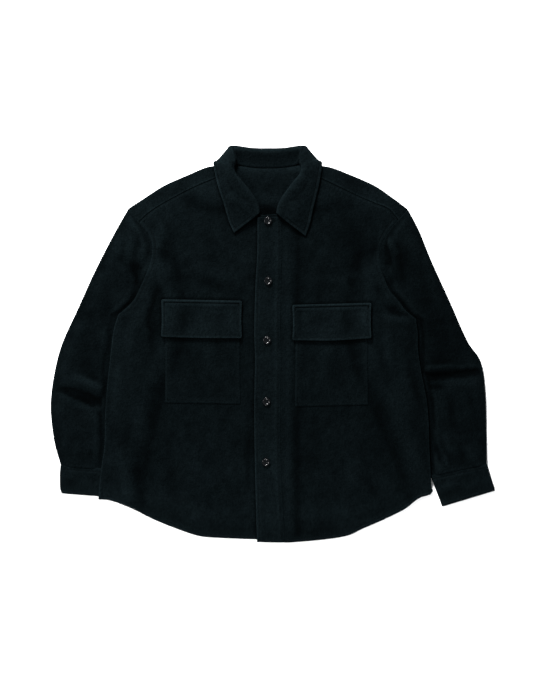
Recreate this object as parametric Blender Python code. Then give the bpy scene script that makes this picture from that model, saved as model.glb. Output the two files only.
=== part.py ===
"""A thick wool overshirt (shacket), lying flat on its back.

+Z is up, +Y runs from hem to collar, and the wearer's right side is at -X. All sizes here are millimetres; the meshes are
written in metres. Every cloth piece is a wall of its own, and what lies on another piece is worked out from its surface.
"""
import bpy
import numpy as np
from mathutils import Vector
from mathutils.geometry import delaunay_2d_cdt

MM = 0.001
# ---------------------------------------------------------------- driving sizes
CLOTH = 2.0          # one layer of brushed wool
DOUBLED = 3.0        # doubled cloth: collar, placket, flaps
CUFF_CLOTH = 2.3     # each side of a pressed cuff
SEAM = 0.3           # gap between two pieces at a seam
REST = 0.4           # gap between two pieces that lie on each other
AIR_MID = 2.6        # gap between front and back in the middle of the body
AIR_SIDE = 0.4       # the same at the side seams
AIR_ARMHOLE = 1.0    # and at the armholes and the hem
SLEEVE_STACK = 5.0   # height of a sleeve's rounded edges
SLEEVE_PUFF = 3.2    # how much a sleeve rises in the middle of what shows
SIDE_BED = 5.8       # how far the body is lifted where it lies on a sleeve
COLLAR_BED = 3.8     # how far the yoke is lifted where it lies on the collar's fall
MID_X = -10.5        # the centre back line
BACK_YOKE_Y = 206.0  # the yoke's seam across the back
PLACKET_WIDTH = 51.0
NECK_PER = 2         # collar steps between two of its sections
CROSSING_Y = 128.0   # below this the sleeve goes under the body
YOKE_COLUMNS = 8     # the yoke's points from the armhole to the neck
UNDER_LAP = 11.0     # the right front's own free edge, under the left one
LAP_REST = 0.8       # gap between the two fronts where they lap
BUTTON_D, BUTTON_T, BUTTON_HOLE_D, BUTTON_PITCH = 15.5, 3.2, 1.7, 3.4


def table(columns, *rows):
    """Rows of numbers under named columns."""
    return {name: np.array([row[i] for row in rows], float) for i, name in enumerate(columns.split())}


# ---------------------------------------------------------------- outlines, a row for each point that shapes them
ARMHOLE_RIGHT = table("x y", (-285, 267), (-265, 241), (-247, 221), (-239, 196), (-241, 162), (-251, 136), (-260, 115),
                      (-275, 85), (-291, 69), (-305, 57))
ARMHOLE_LEFT = table("x y", (266, 265), (247, 245), (234, 231), (223, 212), (212, 190), (211, 154), (218, 133), (229, 106),
                     (250, 81), (267, 59), (281, 49))
SIDE_RIGHT = table("x y", (-305, 57), (-314, 26), (-320, -22), (-328, -99), (-331, -151), (-332, -200), (-340, -260), (-344, -307))
SIDE_LEFT = table("x y", (281, 49), (285, 22), (286, -14), (292, -55), (303, -112), (307, -165), (308, -202), (312, -278), (315, -290))
HEM_RIGHT = table("x y", (-344, -307), (-320, -309), (-283, -323), (-233, -348), (-180, -369), (-144, -380), (-108, -383),
                  (-63, -385), (-31, -386), (11, -386))
HEM_LEFT = table("x y", (-30, -391), (32, -392), (105, -386), (149, -378), (177, -365), (212, -350), (259, -327), (278, -312),
                 (291, -303), (310, -297), (315, -290))
SHOULDER_RIGHT = table("x y", (-285, 267), (-251, 289), (-213, 313), (-160, 336), (-130, 348), (-101, 352), (-80, 356))
SHOULDER_LEFT = table("x y", (266, 265), (234, 289), (198, 313), (145, 336), (111, 348), (80, 352), (59, 356))
YOKE_SEAM_RIGHT = table("x y", (-265, 241), (-242, 261), (-215, 278), (-162, 306), (-122, 323), (-91, 336))
YOKE_SEAM_LEFT = table("x y", (247, 245), (228, 266), (194, 280), (152, 299), (101, 323), (70, 336))

# ---------------------------------------------------------------- sleeves and cuffs, a row for each section across the arm
SLEEVE_RIGHT = table("out_x out_y in_x in_y", (-285, 267, -241, 121), (-314, 216, -235, 99), (-352, 142, -228, 61),
                     (-385, 69, -235, 14), (-417, -2, -251, -34), (-433, -66, -269, -81), (-439, -127, -285, -135),
                     (-432, -192, -299, -198), (-419, -239, -309, -248))
SLEEVE_LEFT = table("out_x out_y in_x in_y", (266, 265, 208, 119), (288, 223, 204, 93), (312, 164, 198, 55), (347, 87, 205, 4),
                    (383, 6, 224, -48), (410, -36, 244, -91), (419, -97, 266, -139), (421, -167, 289, -194),
                    (422, -236, 310, -259))
CUFF_RIGHT = table("out_x out_y in_x in_y", (-419.6, -239.4, -308.8, -248.4), (-421, -254, -308.5, -263), (-421, -276, -309.5, -285),
                   (-420.5, -288, -310, -297), (-417, -295.5, -312, -303.5))
CUFF_LEFT = table("out_x out_y in_x in_y", (422.2, -236.4, 310.2, -259.4), (426.5, -251, 316, -275), (432.5, -271, 324.5, -297),
                  (437, -283, 330.5, -313), (438, -290, 333.5, -321.5))

# ---------------------------------------------------------------- collar, a row for each section round the right half
# neck: the neck seam; roll: the inner side of the fold; bend: its top or outer side; turn and edge: down the fall
COLLAR = table("neck_x neck_y neck_z roll_x roll_y roll_z bend_x bend_y bend_z turn_x turn_y turn_z edge_x edge_y edge_z",
               (-32, 257, 5.6, -27, 258, 11.5, -29, 255, 15.4, -41, 245, 14.0, -77, 218, 8.6),
               (-50, 270, 5.8, -32, 277, 9.6, -35, 274, 13.6, -56, 257, 12.6, -87, 241, 9.0),
               (-69, 291, 6.8, -46, 299, 10.4, -49.5, 296.5, 14.6, -72, 282, 13.6, -96, 272, 10.6),
               (-86, 315, 8.6, -61, 318, 12.2, -65, 315.5, 16.4, -88, 307, 15.2, -106, 302, 12.4),
               (-86, 336, 9.4, -74.5, 335, 14.2, -79, 333.5, 18.0, -97, 328.5, 16.0, -112, 324, 12.6),
               (-76, 351, 8.0, -78, 351, 15.0, -86, 352, 18.2, -105, 358, 15.0, -117.5, 355.5, 10.8),
               (-72, 355, 5.4, -74, 364, 16.0, -89, 368, 14.5, -106, 364, 7.5, -108, 353, 2.0),
               (-66, 353, 5.2, -77, 378, 15.0, -88, 382, 11.5, -93, 378, 4.0, -96, 342, 1.5),
               (-58, 351, 5.2, -73, 384, 13.4, -79.5, 389.5, 7.5, -79, 385, 2.2, -77, 324, 1.5),
               (-37, 348, 5.2, -40, 381, 12.8, -42, 384.6, 7.0, -42, 380, 2.0, -44, 316, 1.5),
               (-10.5, 347, 5.2, -10.5, 379, 12.6, -10.5, 384.0, 7.0, -10.5, 379, 2.0, -10.5, 313, 1.5))
LEFT_LEAF_LEAN_X, LEFT_LEAF_LEAN_Y = 8.0, -6.0   # how far the left leaf's point leans out and down

# ---------------------------------------------------------------- pockets (x0 is the side nearer the wearer's right)
POCKETS = table("side bag_x0 bag_x1 bag_top bag_bottom flap_x0 flap_x1 flap_top flap_side_drop flap_mid_drop tilt",
                (-1, -213, -64, 79, -117.5, -220, -61, 86, 74, 75, -0.017),
                (1, 43, 188, 73, -122, 38, 193.5, 78.5, 70, 72.5, 0.026))
BUTTONS = table("x y", (-10, 242), (-9.5, 123.5), (-12, 7), (-13, -114), (-14, -233))

# ---------------------------------------------------------------- largest folds: a soft ridge (+) or trough (-) along a line
BODY_FOLDS = table("x0 y0 x1 y1 half height", (-244, 225, -240, 150, 22, 1.2), (-238, 150, -262, 70, 26, 1.1),
                   (-222, 110, -226, -30, 18, -1.3), (-262, 20, -270, -150, 24, 1.0), (-150, 250, -120, 120, 30, 0.8),
                   (160, 240, 175, 120, 22, -1.2), (200, 235, 204, 100, 18, 1.2), (228, 62, 268, 58, 9, -1.6),
                   (238, 30, 262, -150, 24, 0.9), (-180, -180, -150, -330, 36, 0.8), (120, -180, 150, -330, 36, 0.8),
                   (60, 60, 66, -120, 20, -0.7))
SLEEVE_FOLDS = table("x0 y0 x1 y1 half height", (-420, -86, -330, -118, 13, -3.0), (-395, -62, -334, -98, 13, 2.2),
                     (-280, 148, -262, 112, 15, -2.2), (-300, 215, -330, 90, 24, 1.2), (-380, -150, -370, -215, 20, 0.9),
                     (296, -62, 408, -60, 12, -3.0), (290, -50, 366, -50, 10, 2.4), (224, 190, 246, 100, 20, -2.4),
                     (262, 215, 300, 100, 24, 1.2), (350, -130, 362, -215, 22, 0.9))


# ---------------------------------------------------------------- small tools
def smooth(v):
    v = np.clip(v, 0.0, 1.0)
    return v * v * (3.0 - 2.0 * v)


def spline(points, per_span):
    """A Catmull-Rom curve through points (n, k), per_span steps between two of them."""
    p = np.asarray(points, float)
    ends = np.vstack([2 * p[0] - p[1], p, 2 * p[-1] - p[-2]])
    out = []
    for i in range(len(p) - 1):
        a, b, c, d = ends[i:i + 4]
        for t in np.arange(per_span) / per_span:
            out.append(0.5 * (2 * b + (c - a) * t + (2 * a - 5 * b + 4 * c - d) * t ** 2 + (3 * b - a - 3 * c + d) * t ** 3))
    return np.array(out + [p[-1]])


def respace(points, count):
    """count points at equal steps along a polyline."""
    p = np.asarray(points, float)
    s = np.concatenate([[0], np.cumsum(np.linalg.norm(np.diff(p, axis=0), axis=1))])
    t = np.linspace(0, s[-1], count)
    return np.stack([np.interp(t, s, p[:, k]) for k in range(p.shape[1])], 1)


def line(tab, count=None, pitch=20.0, names=("x", "y")):
    """The smooth line through a table's points, evenly spaced."""
    fine = spline(np.stack([tab[n] for n in names], 1), 8)
    length = np.linalg.norm(np.diff(fine, axis=0), axis=1).sum()
    return respace(fine, count or max(2, int(round(length / pitch)) + 1))


def shift(points, amount):
    """A polyline moved sideways, to its left when amount is positive."""
    p = np.asarray(points, float)
    d = np.gradient(p, axis=0)
    n = np.stack([-d[:, 1], d[:, 0]], 1) / np.linalg.norm(d, axis=1)[:, None]
    return p + n * np.asarray(amount).reshape(-1, 1) if np.ndim(amount) else p + n * amount


def distance(px, py, loop, closed=True):
    """Distance from points to a polyline."""
    a = np.asarray(loop, float)
    b = np.roll(a, -1, axis=0) if closed else a[1:]
    a = a if closed else a[:-1]
    q = np.stack([np.ravel(px), np.ravel(py)], 1)[:, None, :]
    ab = (b - a)[None]
    t = np.clip(((q - a[None]) * ab).sum(-1) / np.maximum((ab ** 2).sum(-1), 1e-9), 0, 1)
    return np.linalg.norm(q - (a[None] + t[..., None] * ab), axis=-1).min(1).reshape(np.shape(px))


def inside(px, py, loop):
    a = np.asarray(loop, float)
    b = np.roll(a, -1, axis=0)
    x, y = np.ravel(px)[:, None], np.ravel(py)[:, None]
    cross = (a[:, 1] > y) != (b[:, 1] > y)
    at = a[:, 0] + (y - a[:, 1]) * (b[:, 0] - a[:, 0]) / np.where(b[:, 1] == a[:, 1], 1e-9, b[:, 1] - a[:, 1])
    return ((cross & (x < at)).sum(1) % 2 == 1).reshape(np.shape(px))


def folds(tab, x, y):
    """The summed height of soft folds; each fades out over the last third of its line."""
    z = np.zeros(np.shape(x))
    for x0, y0, x1, y1, half, height in zip(*(tab[n] for n in ("x0", "y0", "x1", "y1", "half", "height"))):
        length = np.hypot(x1 - x0, y1 - y0)
        ux, uy = (x1 - x0) / length, (y1 - y0) / length
        along = (x - x0) * ux + (y - y0) * uy
        off = (x - x0) * -uy + (y - y0) * ux
        ends = smooth((along + half) / (0.35 * length + half)) * smooth((length + half - along) / (0.35 * length + half))
        z = z + height * np.exp(-(off / half) ** 2) * ends
    return z


def edge_at(y, armhole, side):
    """The body's outline at height y: the armhole above the underarm, the side seam below it."""
    ys = np.concatenate([armhole["y"], side["y"][1:]])[::-1]
    xs = np.concatenate([armhole["x"], side["x"][1:]])[::-1]
    return np.interp(y, ys, xs)


# ---------------------------------------------------------------- the heights of the layers
def bed(x, y):
    """What the back lies on: the surface, a sleeve at each side, the collar's fall at the neck."""
    x, y = np.asarray(x, float), np.asarray(y, float)
    high = np.zeros(np.shape(x))
    for tab, cuff, out in ((SLEEVE_RIGHT, CUFF_RIGHT, -1), (SLEEVE_LEFT, CUFF_LEFT, 1)):
        start = [[tab["in_x"][0], tab["in_y"][0] + 10]]
        inner = np.vstack([start, np.stack([tab["in_x"], tab["in_y"]], 1), np.stack([cuff["in_x"], cuff["in_y"]], 1)])
        on = (out * (x - np.interp(-y, -inner[:, 1], inner[:, 0])) > 0) & (y < inner[0, 1])
        d = np.where(on, 0.0, distance(x, y, inner, closed=False))
        high = np.maximum(high, SIDE_BED * (1 - smooth((d - 14) / 46)))
    q = (((x - MID_X) / 122) ** 4 + ((y - 350) / 64) ** 4) ** 0.25
    return np.maximum(high, COLLAR_BED * (1 - smooth((q - 1.0) / 0.45)))


def air(x, y):
    """The gap between front and back."""
    x, y = np.asarray(x, float), np.asarray(y, float)
    left, right = edge_at(y, ARMHOLE_RIGHT, SIDE_RIGHT), edge_at(y, ARMHOLE_LEFT, SIDE_LEFT)
    d = np.maximum(np.minimum(x - left, right - x), 0)
    hem = y - np.interp(x, np.concatenate([HEM_RIGHT["x"][:-2], HEM_LEFT["x"]]), np.concatenate([HEM_RIGHT["y"][:-2], HEM_LEFT["y"]]))
    at_edge = AIR_SIDE + (AIR_ARMHOLE - AIR_SIDE) * np.maximum(smooth((y - 55) / 40), smooth(d / 50))
    grow = smooth(d / 42) * smooth(np.maximum(hem, 0) / 60)
    return at_edge + (AIR_MID - at_edge + np.clip(folds(BODY_FOLDS, x, y), -1.6, 1.3)) * grow


def lap(x):
    """1 where the left front lies on the right one."""
    return 1 - smooth((x - 26) / 26)


def under_front_low(x, y):
    return bed(x, y) + CLOTH + air(x, y)


def over_front_low(x, y):
    return under_front_low(x, y) + (CLOTH + LAP_REST) * lap(x)


def body_top(x, y):
    """The top of the cloth body, with the left front's placket."""
    under = under_front_low(x, y) + CLOTH
    over = over_front_low(x, y) + CLOTH
    band = (DOUBLED + SEAM) * (1 - smooth((x - 18) / 6))
    left_front = smooth((x + 44) / 8) * smooth((268 + 0.6 * np.maximum(x + 20, 0) - y) / 10)
    return under + (over + band - under) * left_front


# ---------------------------------------------------------------- solids
def node(name, verts, faces, colour, rough=0.95, sheen=0.3):
    verts = np.asarray(verts, float)
    tris = []
    for f in faces:
        if len(f) == 3:
            tris.append(f)
        elif np.linalg.norm(verts[f[0]] - verts[f[2]]) <= np.linalg.norm(verts[f[1]] - verts[f[3]]):
            tris += [(f[0], f[1], f[2]), (f[0], f[2], f[3])]
        else:
            tris += [(f[0], f[1], f[3]), (f[1], f[2], f[3])]
    t = np.array(tris)
    volume = (np.cross(verts[t[:, 0]], verts[t[:, 1]]) * verts[t[:, 2]]).sum()
    if volume < 0:
        t = t[:, ::-1]
    mesh = bpy.data.meshes.new(name)
    mesh.from_pydata([tuple(v * MM) for v in verts], [], [tuple(int(i) for i in f) for f in t])
    mesh.update()
    mat = bpy.data.materials.new("mat_" + name)
    mat.use_nodes = True
    shader = mat.node_tree.nodes["Principled BSDF"]
    shader.inputs["Base Color"].default_value = (*colour, 1)
    shader.inputs["Roughness"].default_value = rough
    shader.inputs["Sheen Weight"].default_value = sheen
    mesh.materials.append(mat)
    obj = bpy.data.objects.new(name, mesh)
    bpy.context.scene.collection.objects.link(obj)
    return obj


WOOL, GLOSS = (0.004, 0.006, 0.007), (0.006, 0.006, 0.007)


def walls(faces, count):
    """Side faces from the upper to the lower sheet, along each edge that only one face has."""
    seen = {}
    for f in faces:
        for a, b in zip(f, list(f[1:]) + [f[0]]):
            seen[(a, b)] = seen.get((a, b), 0) + 1
    return [(b, a, a + count, b + count) for (a, b) in seen if (b, a) not in seen]


def sheet_solid(name, top, low, faces):
    """A wall between two sheets with the same faces."""
    n = len(top)
    return node(name, np.vstack([top, low]), [tuple(f) for f in faces] + [tuple(i + n for i in f[::-1]) for f in faces] + walls(faces, n), WOOL)


def plan_mesh(outlines, pitch):
    """One set of triangles for several outlines, so that what lies on a panel has that panel's own points.

    Returns the points and, for each outline, its faces. The first outline holds the others.
    """
    loops = [np.asarray(loop, float) for loop in outlines]
    loops = [a if (a[:, 0] * np.roll(a[:, 1], -1) - a[:, 1] * np.roll(a[:, 0], -1)).sum() > 0 else a[::-1] for a in loops]
    pts, rings = [], []
    for loop in loops:
        rings.append(list(range(len(pts), len(pts) + len(loop))))
        pts += [tuple(p) for p in loop]
    lo, hi = loops[0].min(0), loops[0].max(0)
    gx, gy = np.meshgrid(np.arange(lo[0] + pitch / 2, hi[0], pitch), np.arange(lo[1] + pitch / 2, hi[1], pitch * 0.87))
    gx = gx + (np.arange(gx.shape[0]) % 2)[:, None] * pitch / 2
    gx, gy = gx.ravel(), gy.ravel()
    keep = inside(gx, gy, loops[0])
    for loop in loops:
        keep &= distance(gx, gy, loop) > 0.5 * pitch
    pts += list(zip(gx[keep], gy[keep]))
    verts, _, tris, _, _, origin = delaunay_2d_cdt([Vector(p) for p in pts], [], rings, 1, 1e-4)
    v = np.array([tuple(p) for p in verts])
    return v, [[tuple(t) for t, o in zip(tris, origin) if k in o] for k in range(len(loops))]


def layer(name, v, faces, low, thick):
    """The wall over some of a plan mesh's faces; low(x, y) is the height of its underside."""
    used = np.unique([i for f in faces for i in f])
    index = {int(i): k for k, i in enumerate(used)}
    p = v[used]
    z = low(p[:, 0], p[:, 1])
    faces = [tuple(index[int(i)] for i in f) for f in faces]
    return sheet_solid(name, np.column_stack([p, z + thick]), np.column_stack([p, z]), faces)


def offset_solid(name, centre, faces, thick):
    """A wall of even thickness about a centre sheet."""
    normal = np.zeros_like(centre)
    for f in faces:
        a, b, c = centre[f[0]], centre[f[1]], centre[f[2]]
        n = np.cross(b - a, c - a)
        if len(f) == 4:
            n = n + np.cross(c - a, centre[f[3]] - a)
        for i in f:
            normal[i] += n
    normal /= np.linalg.norm(normal, axis=1)[:, None]
    return sheet_solid(name, centre + normal * thick / 2, centre - normal * thick / 2, faces)


def tube(name, rings_out, rings_in):
    """An open tube from closed outer and inner rings."""
    k, n = len(rings_out), len(rings_out[0])
    verts = np.vstack([np.vstack(rings_out), np.vstack(rings_in)])
    faces = []
    for i in range(k - 1):
        for j in range(n):
            a, b = i * n + j, i * n + (j + 1) % n
            faces.append((a, b, b + n, a + n))
            a, b = a + k * n, b + k * n
            faces.append((a, a + n, b + n, b))
    for i, flip in ((0, False), (k - 1, True)):
        for j in range(n):
            a, b = i * n + j, i * n + (j + 1) % n
            f = (a, a + k * n, b + k * n, b)
            faces.append(f[::-1] if flip else f)
    return node(name, verts, faces, WOOL)


def ring(path, stack, wall, rise):
    """The outer and inner loops of a flattened tube over a plan path that runs from its outer to its inner side.

    stack is the height of its rounded sides, and rise(x, y) is what the upper side adds.
    """
    s = np.concatenate([[0], np.cumsum(np.linalg.norm(np.diff(path, axis=0), axis=1))])
    loops = []
    for inset, low, high in ((0.0, 0.0, stack), (wall, wall, stack - wall)):
        r = (high - low) / 2
        corner = np.radians([22, 70])
        at = inset + r * (1 - np.cos(corner))
        dz = r * np.sin(corner)
        dz[1] = r
        up = np.concatenate([at, s[1:-1], s[-1] - at[::-1]])
        z = np.concatenate([dz, np.full(len(path) - 2, r), dz[::-1]])
        p = np.stack([np.interp(up, s, path[:, k]) for k in range(2)], 1)
        top = low + r + z + rise(p[:, 0], p[:, 1]) * (z / max(r, 1e-6))
        loops.append(np.vstack([np.column_stack([p, top]), np.column_stack([p, low + r - z])[::-1]]))
    return loops


# ---------------------------------------------------------------- start
for old in list(bpy.data.objects):
    bpy.data.objects.remove(old, do_unlink=True)

# ---------------------------------------------------------------- collar sections, right half, centre, left half
ROWS = len(COLLAR["neck_x"])
right_half = np.stack([np.stack([COLLAR[f"{part}_{axis}"] for axis in "xyz"], 1) for part in ("neck", "roll", "bend", "turn", "edge")], 1)
left_half = right_half[:-1][::-1].copy()
left_half[:, :, 0] = 2 * MID_X - left_half[:, :, 0]
on_top = left_half[:, :1, 2] > 5.5
lean = np.clip((345 - left_half[:, 4, 1]) / 127, 0, 1)[:, None] * np.array([0, 0.15, 0.3, 0.6, 1.0])[None] * on_top
left_half[:, :, 0] += LEFT_LEAF_LEAN_X * lean
left_half[:, :, 1] += LEFT_LEAF_LEAN_Y * lean
sections = np.concatenate([right_half, left_half])          # (section, part, xyz)
for row in sections:                                        # at the front the neck seam is at the fronts' own height
    if row[0, 2] > 5.5 and abs(row[0, 2] - 8.0) > 0.01:
        row[:4, 2] += float(under_front_low(*row[0, :2])) + CLOTH / 2 - row[0, 2]
        if row[0, 0] > MID_X:
            row[:4, 2] += (CLOTH + LAP_REST) * float(lap(row[0, 0]))
neck_curve = spline(sections[:, 0, :2], NECK_PER)           # from the right front end, up and round the back: outwards is its left


def neck_edge(first, last):
    """The panels' neck edge between two collar sections: the neck seam moved outwards, more where the collar stands up."""
    half = np.abs(np.arange(len(neck_curve)) / NECK_PER - (ROWS - 1))       # sections from the centre back
    gap = np.where(half < 3.2, -1.2, 1.2 + 1.5 * smooth((9.0 - half) / 1.2))  # at the back the yoke is on the other side
    return shift(neck_curve, gap)[int(first * NECK_PER):int(last * NECK_PER) + 1]


def build_collar():
    parts = sections.copy()
    over = parts[:, 0, 2] > 5.5
    ctrl = []
    for row, on_top in zip(parts, over):
        neck, roll, bend, turn, edge = row
        first = neck + 0.62 * (roll - neck)
        first[2] = neck[2] + 0.5 * (roll[2] - neck[2])
        mid = turn + 0.5 * (edge - turn)
        if not on_top:
            mid[2] = max(edge[2], turn[2] - 2.5) if turn[2] > 3 else edge[2]
        ctrl.append(np.array([neck, first, roll, bend, turn, mid, edge]))
    ctrl = np.array(ctrl)                                     # (section, 7, 3)
    rows = np.stack([spline(ctrl[:, k], NECK_PER) for k in range(ctrl.shape[1])], 1)
    grid = []
    for r in rows:
        fine = spline(r, 6)
        grid.append(np.vstack([respace(fine[:19], 6)[:-1], respace(fine[18:], 7)]))
    grid = np.array(grid)
    m, n = grid.shape[:2]
    flat = grid.reshape(-1, 3)
    # the leaves rest on what is under them
    half = np.abs(np.repeat(np.arange(m) / NECK_PER, n) - (ROWS - 1))
    on_leaf = np.tile(np.arange(n) >= 6, m) & (half >= 5.4)
    need = body_top(flat[:, 0], flat[:, 1]) + REST + DOUBLED / 2 + 0.4
    flat[:, 2] = np.maximum(np.where(on_leaf, np.maximum(flat[:, 2], need), flat[:, 2]), DOUBLED / 2 + 0.1)
    faces = [(i * n + j, i * n + j + 1, (i + 1) * n + j + 1, (i + 1) * n + j) for i in range(m - 1) for j in range(n - 1)]
    return offset_solid("collar", flat, faces, DOUBLED)


def armhole_points(side):
    """The armhole's points, shared by all the pieces that meet there: 0 is the shoulder tip, 2 the front yoke seam's end,
    4 the back yoke seam's end, 8 where the sleeve goes under the body, and the last the underarm."""
    tab, seam = (ARMHOLE_RIGHT, YOKE_SEAM_RIGHT) if side < 0 else (ARMHOLE_LEFT, YOKE_SEAM_LEFT)
    fine = line(tab, 240)
    cuts = [0] + [int(np.argmin(np.abs(fine[:, 1] - y))) for y in (seam["y"][0], BACK_YOKE_Y, CROSSING_Y)] + [len(fine) - 1]
    runs = [respace(fine[a:b + 1], n + 1)[:-1] for a, b, n in zip(cuts[:-1], cuts[1:], (2, 2, 4, 4))]
    points = np.vstack(runs + [fine[-1:]])
    points[1] = (points[0] + points[2]) / 2
    points[2, 1], points[4, 1] = seam["y"][0], BACK_YOKE_Y
    return points


def seam_points(side):
    """The front yoke seam's points, from the armhole to the neck."""
    tab = YOKE_SEAM_RIGHT if side < 0 else YOKE_SEAM_LEFT
    points = line(tab, YOKE_COLUMNS)
    points[0] = shift(armhole_points(side), side * -0.2)[2]
    return points


def build_yoke():
    """A front strip over each shoulder, its fold, and the back part between them."""
    columns = YOKE_COLUMNS
    back_rows = 5                                             # the fold's end and four more
    strips = []
    for side, shoulder in ((-1, SHOULDER_RIGHT), (1, SHOULDER_LEFT)):
        hole = shift(armhole_points(side), side * -0.2)[:5]
        fold, front = line(shoulder, columns), seam_points(side)
        front[0], fold[0] = hole[2], hole[0]
        front = front + np.array([0, SEAM / 2])
        end_x = fold[-1, 0] - 5 * side
        grid = []
        for i in range(columns):
            f = i / (columns - 1)
            d, e = fold[i], front[i]
            back = np.array([hole[-1, 0] * (1 - f) + end_x * f, BACK_YOKE_Y])
            ef, eb = (e - d) / np.linalg.norm(e - d), (back - d) / np.linalg.norm(back - d)
            if i == 0:
                ef = eb = (hole[1] - hole[0]) / np.linalg.norm(hole[1] - hole[0])
            low, r = float(bed(*(d + 6 * eb))), (CLOTH + float(air(*(d + 6 * eb)))) / 2
            column = []
            start, finish = d + (1.0 + r) * ef, d + (1.0 + r) * eb
            for g in (0.0, 0.5):
                p = e + (start - e) * g
                column.append((*p, float(under_front_low(*p)) + CLOTH / 2))
            for a in np.radians([90, 45, 0, -45, -90]):
                turn = (a / np.pi * 2 + 1) / 2
                direction = ef * turn + eb * (1 - turn)
                p = d + (1.0 + r * (1 - np.cos(a))) * direction
                column.append((*p, low + CLOTH / 2 + r + r * np.sin(a)))
            for k in range(1, back_rows):
                g = k / (back_rows - 1)
                p = finish + (back - finish) * g
                p = hole[k] if i == 0 else p + (1 - f) * (hole[k] - (hole[0] + (hole[-1] - hole[0]) * g))
                column.append((*p, float(bed(*p)) + CLOTH / 2))
            grid.append(column)
        strips.append(np.array(grid))
    right, left = strips
    n = right.shape[1]
    base_left = columns * n
    pts = list(right.reshape(-1, 3)) + list(left.reshape(-1, 3))
    faces = [(i * n + j, i * n + j + 1, (i + 1) * n + j + 1, (i + 1) * n + j) for i in range(columns - 1) for j in range(n - 1)]
    faces += [tuple(base_left + q for q in (i * n + j, (i + 1) * n + j, (i + 1) * n + j + 1, i * n + j + 1))
              for i in range(columns - 1) for j in range(n - 1)]
    # the middle, below the back neck seam, joins the two strips' back rows
    first = n - back_rows
    a, b = right[-1, -1], left[-1, -1]
    previous = [(columns - 1) * n + first + k for k in range(back_rows)]
    neck = neck_edge(7.5, 2 * (ROWS - 1) - 7.5)[::2]
    for i, p in enumerate(neck):
        f = (i + 1) / (len(neck) + 1)
        bottom = np.array([a[0] * (1 - f) + b[0] * f, BACK_YOKE_Y])
        here = []
        for g in np.linspace(0, 1, back_rows):
            q = p + (bottom - p) * g
            here.append(len(pts))
            pts.append((*q, float(bed(*q)) + CLOTH / 2))
        faces += [(previous[k], previous[k + 1], here[k + 1], here[k]) for k in range(back_rows - 1)]
        previous = here
    here = [base_left + (columns - 1) * n + first + k for k in range(back_rows)]
    faces += [(previous[k], previous[k + 1], here[k + 1], here[k]) for k in range(back_rows - 1)]
    return offset_solid("yoke", np.array(pts, float), faces, CLOTH)


# the placket's free edge, from the top down
PLACKET_EDGE = table("x y", (-30.5, 249), (-31, 180), (-34.5, 118), (-37, 28), (-35.5, -32), (-37, -129), (-35.5, -250), (-31.5, -391))
PLACKET_TOP_Y, PLACKET_FOOT_X = 249.0, 20.0


def front_hole(side):
    """A front's own armhole edge, from just below the yoke seam to the underarm."""
    hole = shift(armhole_points(side), side * -0.2)[2:]
    hole[0] += (hole[1] - hole[0]) / np.linalg.norm(hole[1] - hole[0]) * 1.5 * SEAM
    return hole


def build_fronts():
    hem = line(HEM_RIGHT, pitch=30.0)
    seam = seam_points(-1)[::-1] - np.array([0, SEAM / 2])
    neck = neck_edge(0, 4.5)
    neck = neck[neck[:, 1] < YOKE_SEAM_RIGHT["y"][-1] - 4]
    hole = front_hole(-1)
    free = np.array([(UNDER_LAP, y) for y in np.linspace(-386, 250, 18)[1:]])
    front = np.vstack([seam[:-1], hole[:-1], line(SIDE_RIGHT, pitch=40.0)[:-1], hem, free, [(-12.0, 252.5)], neck])
    v, (body, bag, flap) = plan_mesh([front, pocket_outline(0, "bag"), pocket_outline(0, "flap")], 40)
    layer("front_right", v, body, under_front_low, CLOTH)
    layer("pocket_right", v, bag, lambda x, y: under_front_low(x, y) + CLOTH + SEAM, CLOTH)
    layer("flap_right", v, flap, lambda x, y: under_front_low(x, y) + 2 * CLOTH + SEAM + REST, DOUBLED)

    seam = seam_points(1)[::-1] - np.array([0, SEAM / 2])
    last = 2 * (ROWS - 1)
    neck = neck_edge(last - 4.5, last)[::-1]
    neck = neck[neck[:, 1] < YOKE_SEAM_LEFT["y"][-1] - 4]
    hole = front_hole(1)
    hem = line(HEM_LEFT, pitch=30.0)[::-1]
    hem = hem[hem[:, 0] > PLACKET_FOOT_X + 10]
    edge = line(PLACKET_EDGE, pitch=34)
    foot = np.array([(PLACKET_FOOT_X, -391.8)])
    inner = edge[::-1] + np.column_stack([PLACKET_WIDTH - 4 + 4 * smooth((260 - edge[::-1, 1]) / 200) + 3 * smooth((-250 - edge[::-1, 1]) / 140),
                                          np.zeros(len(edge))])
    inner[-1, 1] = PLACKET_TOP_Y + 1.2
    front = np.vstack([seam[:-1], hole[:-1], line(SIDE_LEFT, pitch=40.0)[:-1], hem, foot, edge[::-1], [(-27.0, 252.2), (-8.0, 254.0)], neck])
    placket = np.vstack([edge, foot, inner[1:]])
    v, (body, band, bag, flap) = plan_mesh([front, placket, pocket_outline(1, "bag"), pocket_outline(1, "flap")], 40)
    layer("front_left", v, body, over_front_low, CLOTH)
    layer("placket", v, band, lambda x, y: over_front_low(x, y) + CLOTH + SEAM, DOUBLED)
    layer("pocket_left", v, bag, lambda x, y: over_front_low(x, y) + CLOTH + SEAM, CLOTH)
    layer("flap_left", v, flap, lambda x, y: over_front_low(x, y) + 2 * CLOTH + SEAM + REST, DOUBLED)


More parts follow.
